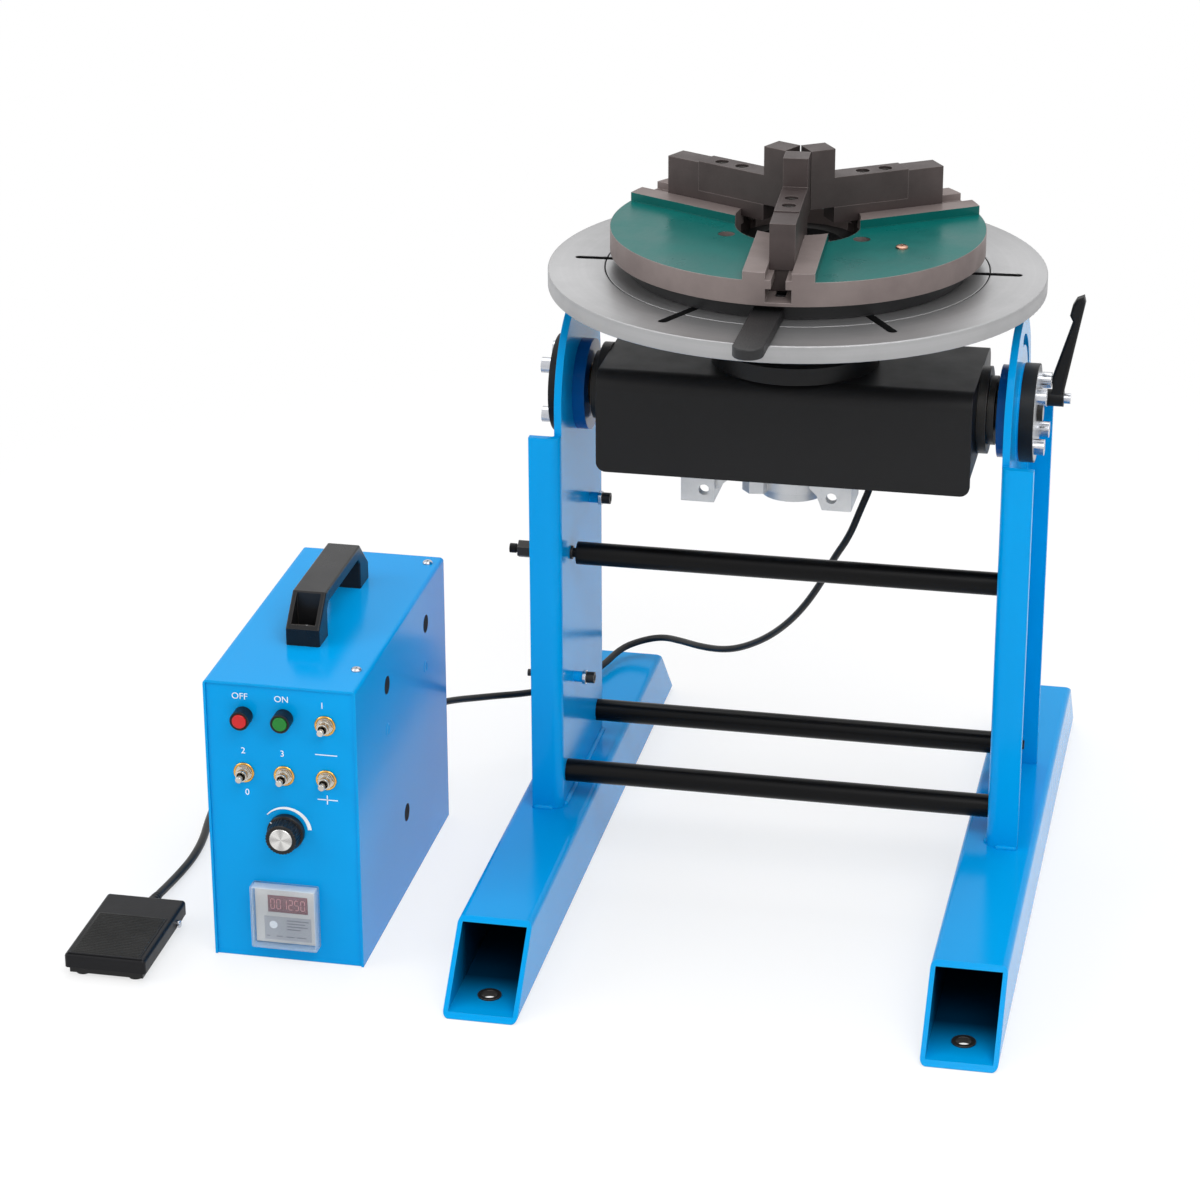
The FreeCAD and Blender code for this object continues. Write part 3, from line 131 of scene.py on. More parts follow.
def wire(finish, source, target):
    finish.node_tree.links.new(source, target)


def place(finish, stretch=(1, 1, 1), centre=(0, 0, 0)):
    # Object coordinates, moved so that the pattern is centred and stretched as asked
    coords = put(finish, "TexCoord")
    mapping = put(finish, "Mapping")
    mapping.inputs["Scale"].default_value = stretch
    mapping.inputs["Location"].default_value = [-middle * size for middle, size in zip(centre, stretch)]
    wire(finish, coords.outputs["Object"], mapping.inputs["Vector"])
    return mapping.outputs["Vector"]


def grain(finish, vector, size, detail=3.0, rough=0.55):
    noise = put(finish, "TexNoise")
    noise.inputs["Scale"].default_value = 1.0 / size
    noise.inputs["Detail"].default_value = detail
    noise.inputs["Roughness"].default_value = rough
    wire(finish, vector, noise.inputs["Vector"])
    return noise.outputs["Fac"]


def spread(finish, value, low, high, fromLow=0.3, fromHigh=0.7):
    ranged = put(finish, "MapRange")
    ranged.inputs["From Min"].default_value = fromLow
    ranged.inputs["From Max"].default_value = fromHigh
    ranged.inputs["To Min"].default_value = low
    ranged.inputs["To Max"].default_value = high
    wire(finish, value, ranged.inputs["Value"])
    return ranged.outputs["Result"]


def sums(finish, how, first, second):
    node = put(finish, "Math", operation=how)
    for socket, value in zip(node.inputs, (first, second)):
        if isinstance(value, (int, float)):
            socket.default_value = value
        else:
            wire(finish, value, socket)
    return node.outputs["Value"]


def product(finish, first, *others):
    for other in others:
        first = sums(finish, "MULTIPLY", first, other)
    return first


def between(finish, value, low, high):
    # 1 between the two limits, 0 outside them
    return product(finish, sums(finish, "LESS_THAN", value, high), sums(finish, "GREATER_THAN", value, low))


def axes(finish, vector):
    parts = put(finish, "SeparateXYZ")
    wire(finish, vector, parts.inputs["Vector"])
    return [parts.outputs[axis] for axis in "XYZ"]


def distance(finish, x, y):
    squares = [product(finish, side, side) for side in (x, y)]
    return sums(finish, "SQRT", sums(finish, "ADD", *squares), 0.0)


def blendTones(finish, amount, first, second):
    mix = put(finish, "Mix", data_type="RGBA")
    for socket, value in ((mix.inputs[0], amount), (mix.inputs[6], first), (mix.inputs[7], second)):
        if isinstance(value, (int, float, tuple)):
            socket.default_value = value
        else:
            wire(finish, value, socket)
    return mix.outputs[2]


def edgeMask(finish, width, reach=0.12):
    # 1 on sharp corners, 0 on flat faces
    soft = put(finish, "Bevel", samples=4)
    soft.inputs["Radius"].default_value = width
    flat = put(finish, "NewGeometry")
    dot = put(finish, "VectorMath", operation="DOT_PRODUCT")
    wire(finish, soft.outputs["Normal"], dot.inputs[0])
    wire(finish, flat.outputs["Normal"], dot.inputs[1])
    return spread(finish, dot.outputs["Value"], 1.0, 0.0, 1.0 - reach, 1.0)


def relief(finish, shader, layers, roundEdge=0.0006):
    # bumps stacked one on another, over edges rounded a little for the light
    soft = put(finish, "Bevel", samples=4)
    soft.inputs["Radius"].default_value = roundEdge
    normal = soft.outputs["Normal"]
    for height, strength, depth in layers:
        bump = put(finish, "Bump")
        bump.inputs["Strength"].default_value = strength
        bump.inputs["Distance"].default_value = depth
        wire(finish, height, bump.inputs["Height"])
        wire(finish, normal, bump.inputs["Normal"])
        normal = bump.outputs["Normal"]
    wire(finish, normal, shader.inputs["Normal"])


def paintFinish(name, look):
    finish, shader = startFinish(name, specular=look["specular"])
    vector = place(finish)
    cloud = grain(finish, vector, 0.16, 2.0)
    fleck = grain(finish, vector, 0.004, 4.0, 0.7)
    peel = grain(finish, vector, look["peelSize"], 2.0, 0.45)
    smear = grain(finish, place(finish, (1, 1, 0.35)), 0.03, 5.0, 0.6)
    tint = blendTones(finish, spread(finish, cloud, 0.0, 1.0), look["colour"], look["shade"])
    tint = blendTones(finish, spread(finish, fleck, 0.0, 0.22, 0.66, 0.82), tint, look["dust"])
    worn = spread(finish, edgeMask(finish, 0.0011), 0.0, look["wear"], 0.2, 1.0)
    tint = blendTones(finish, worn, tint, look["edge"])
    # painted shade deep inside the hollow square feet, when the look gives a tone for it
    if "hollow" in look:
        tint = blendTones(finish, paintedShadeInFeet(finish), tint, look["hollow"])
    wire(finish, tint, shader.inputs["Base Color"])
    wire(finish, spread(finish, smear, look["rough"] * 0.93, look["rough"] * 1.12), shader.inputs["Roughness"])
    relief(finish, shader, [(peel, look["peel"], 0.00025)], 0.0009)
    return finish


# the two square feet: distance from the middle, half the inner width, inner floor and ceiling, and where
# the painted shade inside them begins and ends along them
feet = {"middle": 0.1875, "half": 0.0261, "low": 0.0038, "high": 0.0562, "dark": 0.262, "open": 0.316}


def paintedShadeInFeet(finish):
    # painted shade on the inner walls of the two square feet, darker further in from the open end
    x, y, z = axes(finish, place(finish))
    aside = sums(finish, "SUBTRACT", sums(finish, "ABSOLUTE", x, 0.0), feet["middle"])
    aside = sums(finish, "ABSOLUTE", aside, 0.0)
    depth = spread(finish, sums(finish, "ABSOLUTE", y, 0.0), 0.95, 0.1, feet["dark"], feet["open"])
    return product(finish, sums(finish, "LESS_THAN", aside, feet["half"]),
                   between(finish, z, feet["low"], feet["high"]), depth)


gloss = {"peelSize": 0.0035, "peel": 0.03, "rough": 0.16, "wear": 0.3, "specular": 0.09}
finishes = {}
# its last tone is the painted shade deep inside the square feet
finishes["blue_paint"] = paintFinish("bluePowderCoat", {
    **gloss, "colour": tone(0, 146, 214), "shade": tone(0, 152, 220), "edge": tone(50, 188, 246),
    "dust": tone(20, 164, 230), "hollow": tone(0, 24, 48)})
finishes["deep_blue_paint"] = paintFinish("deepBluePaint", {
    **gloss, "colour": tone(0, 82, 152), "shade": tone(0, 90, 162), "edge": tone(30, 130, 200),
    "dust": tone(20, 104, 170)})
satin = {"peelSize": 0.0016, "peel": 0.10, "rough": 0.42, "wear": 0.25, "specular": 0.2}
finishes["black_paint"] = paintFinish("blackSatinCoat", {
    **satin, "colour": tone(20, 20, 21), "shade": tone(24, 24, 25), "edge": tone(70, 70, 72),
    "dust": tone(44, 44, 46)})
finishes["bar_black"] = paintFinish("blackBarPaint", {
    **satin, "rough": 0.3, "peel": 0.05, "specular": 0.14, "colour": tone(6, 6, 7), "shade": tone(9, 9, 10),
    "edge": tone(60, 60, 62), "dust": tone(36, 36, 38)})
finishes["motor_black"] = paintFinish("motorBlack", {
    **satin, "rough": 0.5, "colour": tone(20, 20, 22), "shade": tone(26, 26, 28), "edge": tone(60, 60, 62),
    "dust": tone(50, 50, 52)})
finishes["tread_black"] = paintFinish("treadBlack", {
    **satin, "rough": 0.42, "peel": 0.16, "colour": tone(14, 14, 17), "shade": tone(18, 18, 21),
    "edge": tone(50, 50, 54), "dust": tone(40, 40, 44)})


def metalFinish(name, look):
    finish, shader = startFinish(name, metallic=look.get("metallic", 1.0))
    lay = place(finish, look.get("stretch", (1, 1, 1)))
    lines = grain(finish, lay, look.get("lineSize", 0.0012), 3.0, 0.6)
    cloud = grain(finish, place(finish), 0.035, 4.0)
    pits = grain(finish, place(finish), 0.0022, 3.0, 0.75)
    tint = blendTones(finish, spread(finish, cloud, 0.0, 1.0), look["colour"], look["shade"])
    tint = blendTones(finish, spread(finish, pits, 0.0, 0.5, 0.62, 0.8), tint, look["pit"])
    tint = blendTones(finish, spread(finish, edgeMask(finish, 0.0009), 0.0, look.get("wear", 0.5), 0.15, 1.0),
                      tint, look["edge"])
    wire(finish, tint, shader.inputs["Base Color"])
    rough = look["rough"]
    wire(finish, spread(finish, sums(finish, "ADD", product(finish, lines, 0.6),
                                     product(finish, cloud, 0.4)), rough * 0.7, rough * 1.4),
         shader.inputs["Roughness"])
    relief(finish, shader, [(lines, look.get("lineDepth", 0.12), 0.0001), (pits, 0.06, 0.0001)])
    return finish


finishes["zinc_steel"] = metalFinish("brightZinc", {
    "colour": tone(206, 208, 212), "shade": tone(188, 190, 196), "pit": tone(120, 122, 126),
    "edge": tone(236, 238, 240), "rough": 0.2, "lineDepth": 0.05})
finishes["bare_steel"] = metalFinish("turnedSteel", {
    "colour": tone(176, 178, 182), "shade": tone(150, 152, 156), "pit": tone(90, 92, 95),
    "edge": tone(220, 221, 224), "rough": 0.3, "stretch": (1, 1, 12)})
finishes["black_steel"] = metalFinish("blackOxide", {
    "colour": tone(44, 43, 43), "shade": tone(56, 54, 52), "pit": tone(90, 74, 60),
    "edge": tone(116, 112, 108), "rough": 0.4, "metallic": 0.75})
finishes["jaw_steel"] = metalFinish("jawSteel", {
    "colour": tone(80, 71, 70), "shade": tone(69, 61, 60), "pit": tone(48, 43, 42),
    "edge": tone(140, 130, 128), "rough": 0.44, "metallic": 0.6, "stretch": (14, 14, 1), "wear": 0.5})
finishes["scroll_iron"] = metalFinish("scrollIron", {
    "colour": tone(42, 42, 43), "shade": tone(36, 36, 37), "pit": tone(28, 28, 29),
    "edge": tone(104, 104, 106), "rough": 0.42, "metallic": 0.5, "lineDepth": 0.08})
finishes["bronze"] = metalFinish("bearingBronze", {
    "colour": tone(176, 132, 74), "shade": tone(158, 114, 60), "pit": tone(96, 66, 36),
    "edge": tone(214, 176, 118), "rough": 0.32})
finishes["nickel"] = metalFinish("nickelPlate", {
    "colour": tone(206, 202, 194), "shade": tone(186, 182, 174), "pit": tone(110, 104, 96),
    "edge": tone(238, 234, 226), "rough": 0.14, "lineDepth": 0.03})
finishes["cast_alloy"] = metalFinish("castAlloy", {
    "colour": tone(212, 213, 214), "shade": tone(194, 195, 197), "pit": tone(128, 130, 134),
    "edge": tone(232, 233, 235), "rough": 0.42, "metallic": 0.55, "lineSize": 0.0009, "lineDepth": 0.35})
goldPlate = metalFinish("goldPlate", {
    "colour": tone(232, 182, 92), "shade": tone(210, 152, 66), "pit": tone(120, 84, 40),
    "edge": tone(246, 216, 150), "rough": 0.16, "lineDepth": 0.03})
copperPlate = metalFinish("copperPlate", {
    "colour": tone(190, 150, 130), "shade": tone(170, 128, 108), "pit": tone(96, 66, 54),
    "edge": tone(228, 196, 178), "rough": 0.22, "lineDepth": 0.04})


def mouldFinish(name, look):
    finish, shader = startFinish(name, coat=look.get("coat", 0.0), specular=0.3)
    vector = place(finish)
    texture = grain(finish, vector, look["grainSize"], 3.0, 0.6)
    cloud = grain(finish, vector, 0.03, 3.0)
    tint = blendTones(finish, spread(finish, cloud, 0.0, 1.0), look["colour"], look["shade"])
    tint = blendTones(finish, spread(finish, edgeMask(finish, 0.0008), 0.0, 0.35, 0.2, 1.0), tint, look["edge"])
    wire(finish, tint, shader.inputs["Base Color"])
    wire(finish, spread(finish, cloud, look["rough"] * 0.85, look["rough"] * 1.2), shader.inputs["Roughness"])
    relief(finish, shader, [(texture, look["grain"], 0.0002)])
    return finish


finishes["black_plastic"] = mouldFinish("blackMoulding", {
    "colour": tone(13, 13, 14), "shade": tone(18, 18, 19), "edge": tone(50, 50, 52), "grainSize": 0.0007,
    "grain": 0.12, "rough": 0.36})
finishes["handle_plastic"] = mouldFinish("handleMoulding", {
    "colour": tone(18, 18, 20), "shade": tone(23, 23, 25), "edge": tone(96, 88, 80), "grainSize": 0.0008,
    "grain": 0.1, "rough": 0.3})
finishes["rubber"] = mouldFinish("mouldedRubber", {
    "colour": tone(8, 8, 8), "shade": tone(12, 12, 12), "edge": tone(56, 56, 54), "grainSize": 0.0012,
    "grain": 0.25, "rough": 0.55})
finishes["cord_rubber"] = mouldFinish("cordSheath", {
    "colour": tone(14, 14, 15), "shade": tone(20, 20, 21), "edge": tone(34, 34, 35), "grainSize": 0.0009,
    "grain": 0.1, "rough": 0.42})
finishes["red_plastic"] = mouldFinish("redCap", {
    "colour": tone(196, 16, 20), "shade": tone(182, 12, 16), "edge": tone(236, 90, 88), "grainSize": 0.0006,
    "grain": 0.1, "rough": 0.32, "coat": 0.2})
finishes["green_plastic"] = mouldFinish("greenCap", {
    "colour": tone(2, 122, 36), "shade": tone(2, 110, 30), "edge": tone(80, 186, 110), "grainSize": 0.0006,
    "grain": 0.1, "rough": 0.32, "coat": 0.2})
finishes["knob_plastic"] = mouldFinish("knobMoulding", {
    "colour": tone(12, 12, 13), "shade": tone(17, 17, 18), "edge": tone(54, 54, 56), "grainSize": 0.0006,
    "grain": 0.1, "rough": 0.34})
finishes["counter_plastic"] = mouldFinish("counterMoulding", {
    "colour": tone(206, 204, 200), "shade": tone(196, 194, 190), "edge": tone(232, 231, 228),
    "grainSize": 0.0008, "grain": 0.08, "rough": 0.4})
finishes["circuit_board"] = mouldFinish("laminateBoard", {
    "colour": tone(18, 84, 44), "shade": tone(24, 98, 54), "edge": tone(150, 130, 70), "grainSize": 0.001,
    "grain": 0.1, "rough": 0.35})
whitePrint = mouldFinish("whitePrint", {
    "colour": tone(244, 247, 250), "shade": tone(236, 241, 246), "edge": tone(250, 251, 252),
    "grainSize": 0.0006, "grain": 0.06, "rough": 0.4})
labelGrey = mouldFinish("labelFoil", {
    "colour": tone(172, 172, 176), "shade": tone(160, 160, 164), "edge": tone(200, 200, 204),
    "grainSize": 0.0006, "grain": 0.06, "rough": 0.35})
labelInk = mouldFinish("labelInk", {
    "colour": tone(122, 122, 128), "shade": tone(112, 112, 118), "edge": tone(140, 140, 144),
    "grainSize": 0.0006, "grain": 0.04, "rough": 0.4})
windowRed = mouldFinish("displayWindow", {
    "colour": tone(120, 34, 40), "shade": tone(104, 26, 32), "edge": tone(160, 80, 84), "grainSize": 0.0009,
    "grain": 0.05, "rough": 0.2, "coat": 0.6})
digitRed = mouldFinish("displayDigits", {
    "colour": tone(222, 150, 150), "shade": tone(206, 134, 134), "edge": tone(236, 180, 180),
    "grainSize": 0.0006, "grain": 0.04, "rough": 0.3})
# painted shade for the dark inside of a hole
holeShadeFinish = mouldFinish("paintedHoleShade", {
    "colour": tone(12, 12, 13), "shade": tone(16, 16, 17), "edge": tone(24, 24, 25), "grainSize": 0.001,
    "grain": 0.05, "rough": 0.7})


def clearFinish(name):
    # thin clear moulding: mostly see-through, brighter and milky where it is seen edge on
    finish, shader = startFinish(name, roughness=0.08)
    haze = grain(finish, place(finish), 0.012, 4.0)
    wire(finish, blendTones(finish, spread(finish, haze, 0.0, 1.0), tone(214, 232, 248), tone(232, 242, 252)),
         shader.inputs["Base Color"])
    rim = edgeMask(finish, 0.0016)
    fresnel = put(finish, "Fresnel")
    fresnel.inputs["IOR"].default_value = 1.45
    cover = sums(finish, "MAXIMUM", spread(finish, rim, 0.05, 0.8, 0.05, 0.9),
                 spread(finish, fresnel.outputs["Fac"], 0.05, 0.7, 0.03, 0.5))
    wire(finish, cover, shader.inputs["Alpha"])
    wire(finish, spread(finish, haze, 0.05, 0.14), shader.inputs["Roughness"])
    relief(finish, shader, [(haze, 0.05, 0.0004)], 0.0012)
    return finish


finishes["clear_plastic"] = clearFinish("clearMoulding")


# the table's axis, about which turned and painted faces are laid out
tableAxis = (0.0, 0.0195, 0.0)


def turnedFinish(name, look):
    # steel faced off in a lathe: rings about the table's axis, with painted shade, dull and dark, inside the
    # slots
    finish, shader = startFinish(name, metallic=0.9)
    x, y, z = axes(finish, place(finish, centre=tableAxis))
    reach = distance(finish, x, y)
    rings = put(finish, "CombineXYZ")
    wire(finish, reach, rings.inputs["X"])
    wire(finish, z, rings.inputs["Y"])
    fine = grain(finish, rings.outputs["Vector"], 0.0009, 4.0, 0.7)
    broad = grain(finish, rings.outputs["Vector"], 0.012, 3.0, 0.6)
    smudge = grain(finish, place(finish), 0.05, 5.0, 0.6)
    tint = blendTones(finish, spread(finish, broad, 0.0, 1.0), look["colour"], look["shade"])
    tint = blendTones(finish, spread(finish, smudge, 0.0, 0.5, 0.5, 0.75), tint, look["stain"])
    tint = blendTones(finish, spread(finish, edgeMask(finish, 0.0008), 0.0, 0.3, 0.3, 1.0), tint, look["edge"])
    # painted shade in the slots and groove below the faceplate's top: near black, dull and not metallic
    slotShade = product(finish, between(finish, z, look["slotLow"], look["slotTop"]),
                   sums(finish, "LESS_THAN", reach, look["slotOut"]))
    tint = blendTones(finish, slotShade, tint, tone(14, 14, 15))
    wire(finish, tint, shader.inputs["Base Color"])
    wire(finish, product(finish, sums(finish, "SUBTRACT", 1.0, slotShade), look["metal"]), shader.inputs["Metallic"])
    wire(finish, sums(finish, "MAXIMUM", spread(finish, smudge, look["rough"] * 0.85, look["rough"] * 1.25),
                      product(finish, slotShade, 0.8)), shader.inputs["Roughness"])
    shader.inputs["Anisotropic"].default_value = 0.8
    radial = put(finish, "Tangent", direction_type="RADIAL", axis="Z")
    wire(finish, radial.outputs["Tangent"], shader.inputs["Tangent"])
    relief(finish, shader, [(fine, 0.10, 0.0001), (broad, 0.03, 0.0002)], 0.0008)
    return finish


finishes["faceplate_steel"] = turnedFinish("turnedFaceplate", {
    "colour": tone(174, 174, 175), "shade": tone(162, 162, 163), "stain": tone(154, 154, 155),
    "edge": tone(232, 232, 232), "rough": 0.4, "metal": 0.68, "slotTop": 0.5194, "slotLow": 0.5064,
    "slotOut": 0.1812})


def chuckFinish(name, look):
    # green enamel on the cast sectors and flanks, bare machined iron on the rails, rim and bore
    finish, shader = startFinish(name, specular=0.18)
    x, y, z = axes(finish, place(finish, centre=tableAxis))
    rail = 0.0
    for angle in look["rails"]:
        c, s = math.cos(math.radians(angle)), math.sin(math.radians(angle))
        along = sums(finish, "ADD", product(finish, x, c), product(finish, y, s))
        aside = sums(finish, "SUBTRACT", product(finish, y, c), product(finish, x, s))
        inside = product(finish, sums(finish, "GREATER_THAN", along, 0.0),
                         sums(finish, "LESS_THAN", sums(finish, "ABSOLUTE", aside, 0.0), look["railHalf"]))
        rail = sums(finish, "MAXIMUM", rail, inside)
    waver = spread(finish, grain(finish, place(finish), 0.004, 3.0), -0.0003, 0.0003)
    painted = product(finish, between(finish, distance(finish, x, y), look["bore"], look["rim"]),
                      sums(finish, "GREATER_THAN", sums(finish, "ADD", z, waver), look["deck"]),
                      sums(finish, "SUBTRACT", 1.0, rail))
    cloud = grain(finish, place(finish), 0.04, 4.0)
    ripple = grain(finish, place(finish, (1.0, 0.45, 1.0)), 0.009, 3.0, 0.5)
    lines = grain(finish, place(finish, (1, 1, 8)), 0.0016, 4.0, 0.65)
    green = blendTones(finish, spread(finish, cloud, 0.0, 1.0), look["green"], look["greenShade"])
    iron = blendTones(finish, spread(finish, cloud, 0.0, 1.0), look["iron"], look["ironShade"])
    iron = blendTones(finish, spread(finish, lines, 0.0, 0.4, 0.6, 0.8), iron, look["pit"])
    iron = blendTones(finish, spread(finish, edgeMask(finish, 0.0009), 0.0, 0.6, 0.2, 1.0), iron, look["edge"])
    wire(finish, blendTones(finish, painted, iron, green), shader.inputs["Base Color"])
    wire(finish, product(finish, sums(finish, "SUBTRACT", 1.0, painted), 0.45), shader.inputs["Metallic"])
    wire(finish, sums(finish, "ADD", product(finish, painted, -0.18), spread(finish, cloud, 0.44, 0.56)),
         shader.inputs["Roughness"])
    relief(finish, shader, [(lines, 0.08, 0.0001), (product(finish, ripple, painted), 0.35, 0.0006)], 0.0007)
    return finish


railTurns = (-86.8, 33.2, 153.2)
finishes["chuck_iron"] = chuckFinish("chuckBody", {
    "rails": railTurns, "railHalf": 0.0279, "rim": 0.1497, "bore": 0.0502, "deck": 0.5537,
    "green": tone(2, 88, 84), "greenShade": tone(4, 96, 91), "iron": tone(136, 125, 122),
    "ironShade": tone(122, 111, 109), "pit": tone(84, 75, 73), "edge": tone(176, 166, 164)})

for part in frame["record"]["subparts"]:
    node = nodesHere[part["node"]]
    node.data.materials.clear()
    node.data.materials.append(finishes[part["material_slot"]])
print("finishes on", len(nodesHere), "nodes")


def inPlace(at, facing="z"):
    turns = {"z": Matrix.Identity(4), "-y": Matrix.Rotation(math.pi / 2, 4, "X"),
             "x": Matrix.Rotation(math.pi / 2, 4, "Y"), "-x": Matrix.Rotation(-math.pi / 2, 4, "Y")}
    return Matrix.Translation(at) @ turns[facing]


def mm(*values):
    return tuple(value / 1000 for value in values)


def aboutTable(angle):
    centre = Vector(tableAxis)
    return Matrix.Translation(centre) @ Matrix.Rotation(math.radians(angle), 4, "Z")


def meshOf(name, shape):
    mesh = bpy.data.meshes.new(name)
    shape.to_mesh(mesh)
    shape.free()
    return mesh


def linked(name, data):
    made = bpy.data.objects.new(name, data)
    scene.collection.objects.link(made)
    return made


def finishPiece(name, shape, finish, body, smooth=True, angle=35):
    bmesh.ops.remove_doubles(shape, verts=shape.verts, dist=1e-7)
    bmesh.ops.recalc_face_normals(shape, faces=shape.faces)
    mesh = meshOf(name, shape)
    for face in mesh.polygons:
        face.use_smooth = smooth
    piece = linked(name, mesh)
    if smooth:
        mesh.set_sharp_from_angle(angle=math.radians(angle))
    mesh.materials.append(finish)
    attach(piece, body)
    return piece


def vertsOf(parts):
    return [part for part in parts if isinstance(part, bmesh.types.BMVert)]


def joinedTo(verts):
    # the vertices given and all that edges lead to from them
    grown, stack = set(verts), list(verts)
    while stack:
        for edge in stack.pop().link_edges:
            for vert in edge.verts:
                if vert not in grown:
                    grown.add(vert)
                    stack.append(vert)
    return list(grown)


def lathe(shape, profile, at, steps=40):
    # profile of (radius, height) in millimetres, spun about the local Z, then set in place
    points = [shape.verts.new((radius / 1000, 0, height / 1000)) for radius, height in profile]
    edges = [shape.edges.new(pair) for pair in zip(points, points[1:])]
    result = bmesh.ops.spin(shape, geom=points + edges, cent=(0, 0, 0), axis=(0, 0, 1), angle=math.tau,
                            steps=steps, use_merge=True)
    grown = joinedTo(points + vertsOf(result["geom_last"]))
    bmesh.ops.remove_doubles(shape, verts=grown, dist=1e-7)
    bmesh.ops.transform(shape, matrix=at, verts=[vert for vert in grown if vert.is_valid])


def circle(shape, segments, radius):
    return bmesh.ops.create_circle(shape, segments=segments, radius=radius / 1000)["verts"]


def sinkRecess(shape, outer, inner, top, depth, at):
    # a flat crown between the two loops, with the inner one sunk, closing a head that has been spun
    edges = {edge for vert in outer + inner for edge in vert.link_edges}
    bmesh.ops.bridge_loops(shape, edges=list(edges))
    rim = [edge for edge in {edge for vert in inner for edge in vert.link_edges}
           if edge.verts[0] in inner and edge.verts[1] in inner]
    floor = vertsOf(bmesh.ops.extrude_edge_only(shape, edges=rim)["geom"])
    bmesh.ops.translate(shape, verts=floor, vec=(0, 0, -depth / 1000))
    bmesh.ops.contextual_create(shape, geom=floor)
    every = outer + inner + floor
    bmesh.ops.translate(shape, verts=every, vec=(0, 0, top / 1000))
    bmesh.ops.transform(shape, matrix=at, verts=every)


def capHead(shape, radius, high, at):
    # a cap screw's head: small chamfer, and a flat crown with a hexagon recess
    lathe(shape, [(radius - 0.01, 0), (radius, 0), (radius, high - 0.5), (radius - 0.5, high)], at)
    outer = circle(shape, 40, radius - 0.5)
    inner = circle(shape, 6, radius * 0.95 / math.sqrt(3))
    sinkRecess(shape, outer, inner, high, high * 0.55, at)


def slab(shape, size, at, edge=0.0, segments=2):
    made = bmesh.ops.create_cube(shape, size=1.0)["verts"]
    bmesh.ops.scale(shape, vec=[side / 1000 for side in size], verts=made)
    if edge:
        sides = list({line for vert in made for line in vert.link_edges})
        fresh = bmesh.ops.bevel(shape, geom=sides, offset=edge / 1000, segments=segments, affect="EDGES",
                                profile=0.5, material=-1)
        made = joinedTo(fresh["verts"])
    bmesh.ops.transform(shape, matrix=at, verts=made)


def cordLine(name, spots):
    # one smooth line steered by the route's points, the same as those of the CAD cord
    line = bpy.data.curves.new(name, "CURVE")
    line.dimensions = "3D"
    run = line.splines.new("NURBS")
    run.points.add(len(spots) - 1)
    for point, spot in zip(run.points, spots):
        point.co = (*spot, 1)
    run.order_u = 3
    run.use_endpoint_u = True
    run.resolution_u = 12
    guide = bpy.data.objects.new(name, line)
    mesh = bpy.data.meshes.new_from_object(guide)
    centres = [vert.co.copy() for vert in mesh.vertices]
    bpy.data.objects.remove(guide)
    bpy.data.meshes.remove(mesh)
    bpy.data.curves.remove(line)
    return centres


def lineLength(centres):
    return sum((after - before).length for before, after in zip(centres, centres[1:]))


def sheathTube(name, centres, radius, swell=lambda along, total: 1.0, sides=20, slot="cord_rubber"):
    # a round sheath swept along the line, with its own lengthwise map and closed ends
    shape = bmesh.new()
    sheath = shape.loops.layers.uv.new("UVMap")
    total = lineLength(centres)
    rings, travelled, along = [], [], 0.0
    heading = (centres[1] - centres[0]).normalized()
    side = heading.orthogonal().normalized()
    for index, centre in enumerate(centres):
        before, after = centres[max(index - 1, 0)], centres[min(index + 1, len(centres) - 1)]
        fresh = (after - before).normalized()
        side = (heading.rotation_difference(fresh) @ side).normalized()
        heading = fresh
        if index:
            along += (centre - centres[index - 1]).length
        travelled.append(along)
        reach = radius * swell(along, total)
        other = heading.cross(side)
        rings.append([shape.verts.new(centre + reach * (math.cos(turn) * side + math.sin(turn) * other))
                      for turn in (math.tau * step / sides for step in range(sides))])
    for low, (first, second) in enumerate(zip(rings, rings[1:])):
        for step in range(sides):
            beyond = (step + 1) % sides
            face = shape.faces.new((first[step], first[beyond], second[beyond], second[step]))
            for loop, u, v in zip(face.loops, (step, step + 1, step + 1, step),
                                  (travelled[low], travelled[low], travelled[low + 1], travelled[low + 1])):
                loop[sheath].uv = (u / sides, v)
    shape.faces.new(rings[0][::-1])
    shape.faces.new(rings[-1])
    bmesh.ops.recalc_face_normals(shape, faces=shape.faces)
    mesh = meshOf(name, shape)
    for face in mesh.polygons:
        face.use_smooth = len(face.vertices) == 4
    tube = linked(name, mesh)
    mesh.materials.append(finishes[slot])
    return tube


motorCable = {
    "diameter": 0.006,
    "length": 0.736,
    "route": [mm(61, 57.5, 345), mm(61, 57.5, 326), mm(51.5, 54, 301), mm(42, 60, 274), mm(26, 75, 245),
              mm(14, 92, 215.5), mm(-8, 118, 176), mm(-33.8, 145, 142.7), mm(-60.7, 170, 118.5),
              mm(-84, 190, 104), mm(-110, 214, 94.5), mm(-134, 241, 87), mm(-155.6, 262.9, 80),
              mm(-176, 264, 74), mm(-192.3, 251.7, 70), mm(-202, 212.7, 67.5), mm(-217, 181, 66.8),
              mm(-240, 159, 65), mm(-262, 145, 65.2), mm(-280, 130, 68.5), mm(-294.5, 110, 74),
              mm(-304.5, 90, 80.5), mm(-313, 71, 86), mm(-320, 52, 90), mm(-320, 34, 90)],
}
pedalCable = {
    "diameter": 0.007,
    "length": 0.407,
    "route": [mm(-495.7, -209.7, 8.5), mm(-495.7, -192, 8.5), mm(-494.6, -165, 5.2), mm(-492, -133, 3.8),
              mm(-490.3, -105, 3.9), mm(-492.4, -72, 3.8), mm(-498.5, -38, 3.9), mm(-503, -4, 3.8),
              mm(-500, 30, 4), mm(-486, 60, 5.5), mm(-462, 78, 9), mm(-435, 84, 16), mm(-411, 76, 26),
              mm(-398, 58, 35), mm(-395, 46, 40), mm(-395, 34, 40)],
}


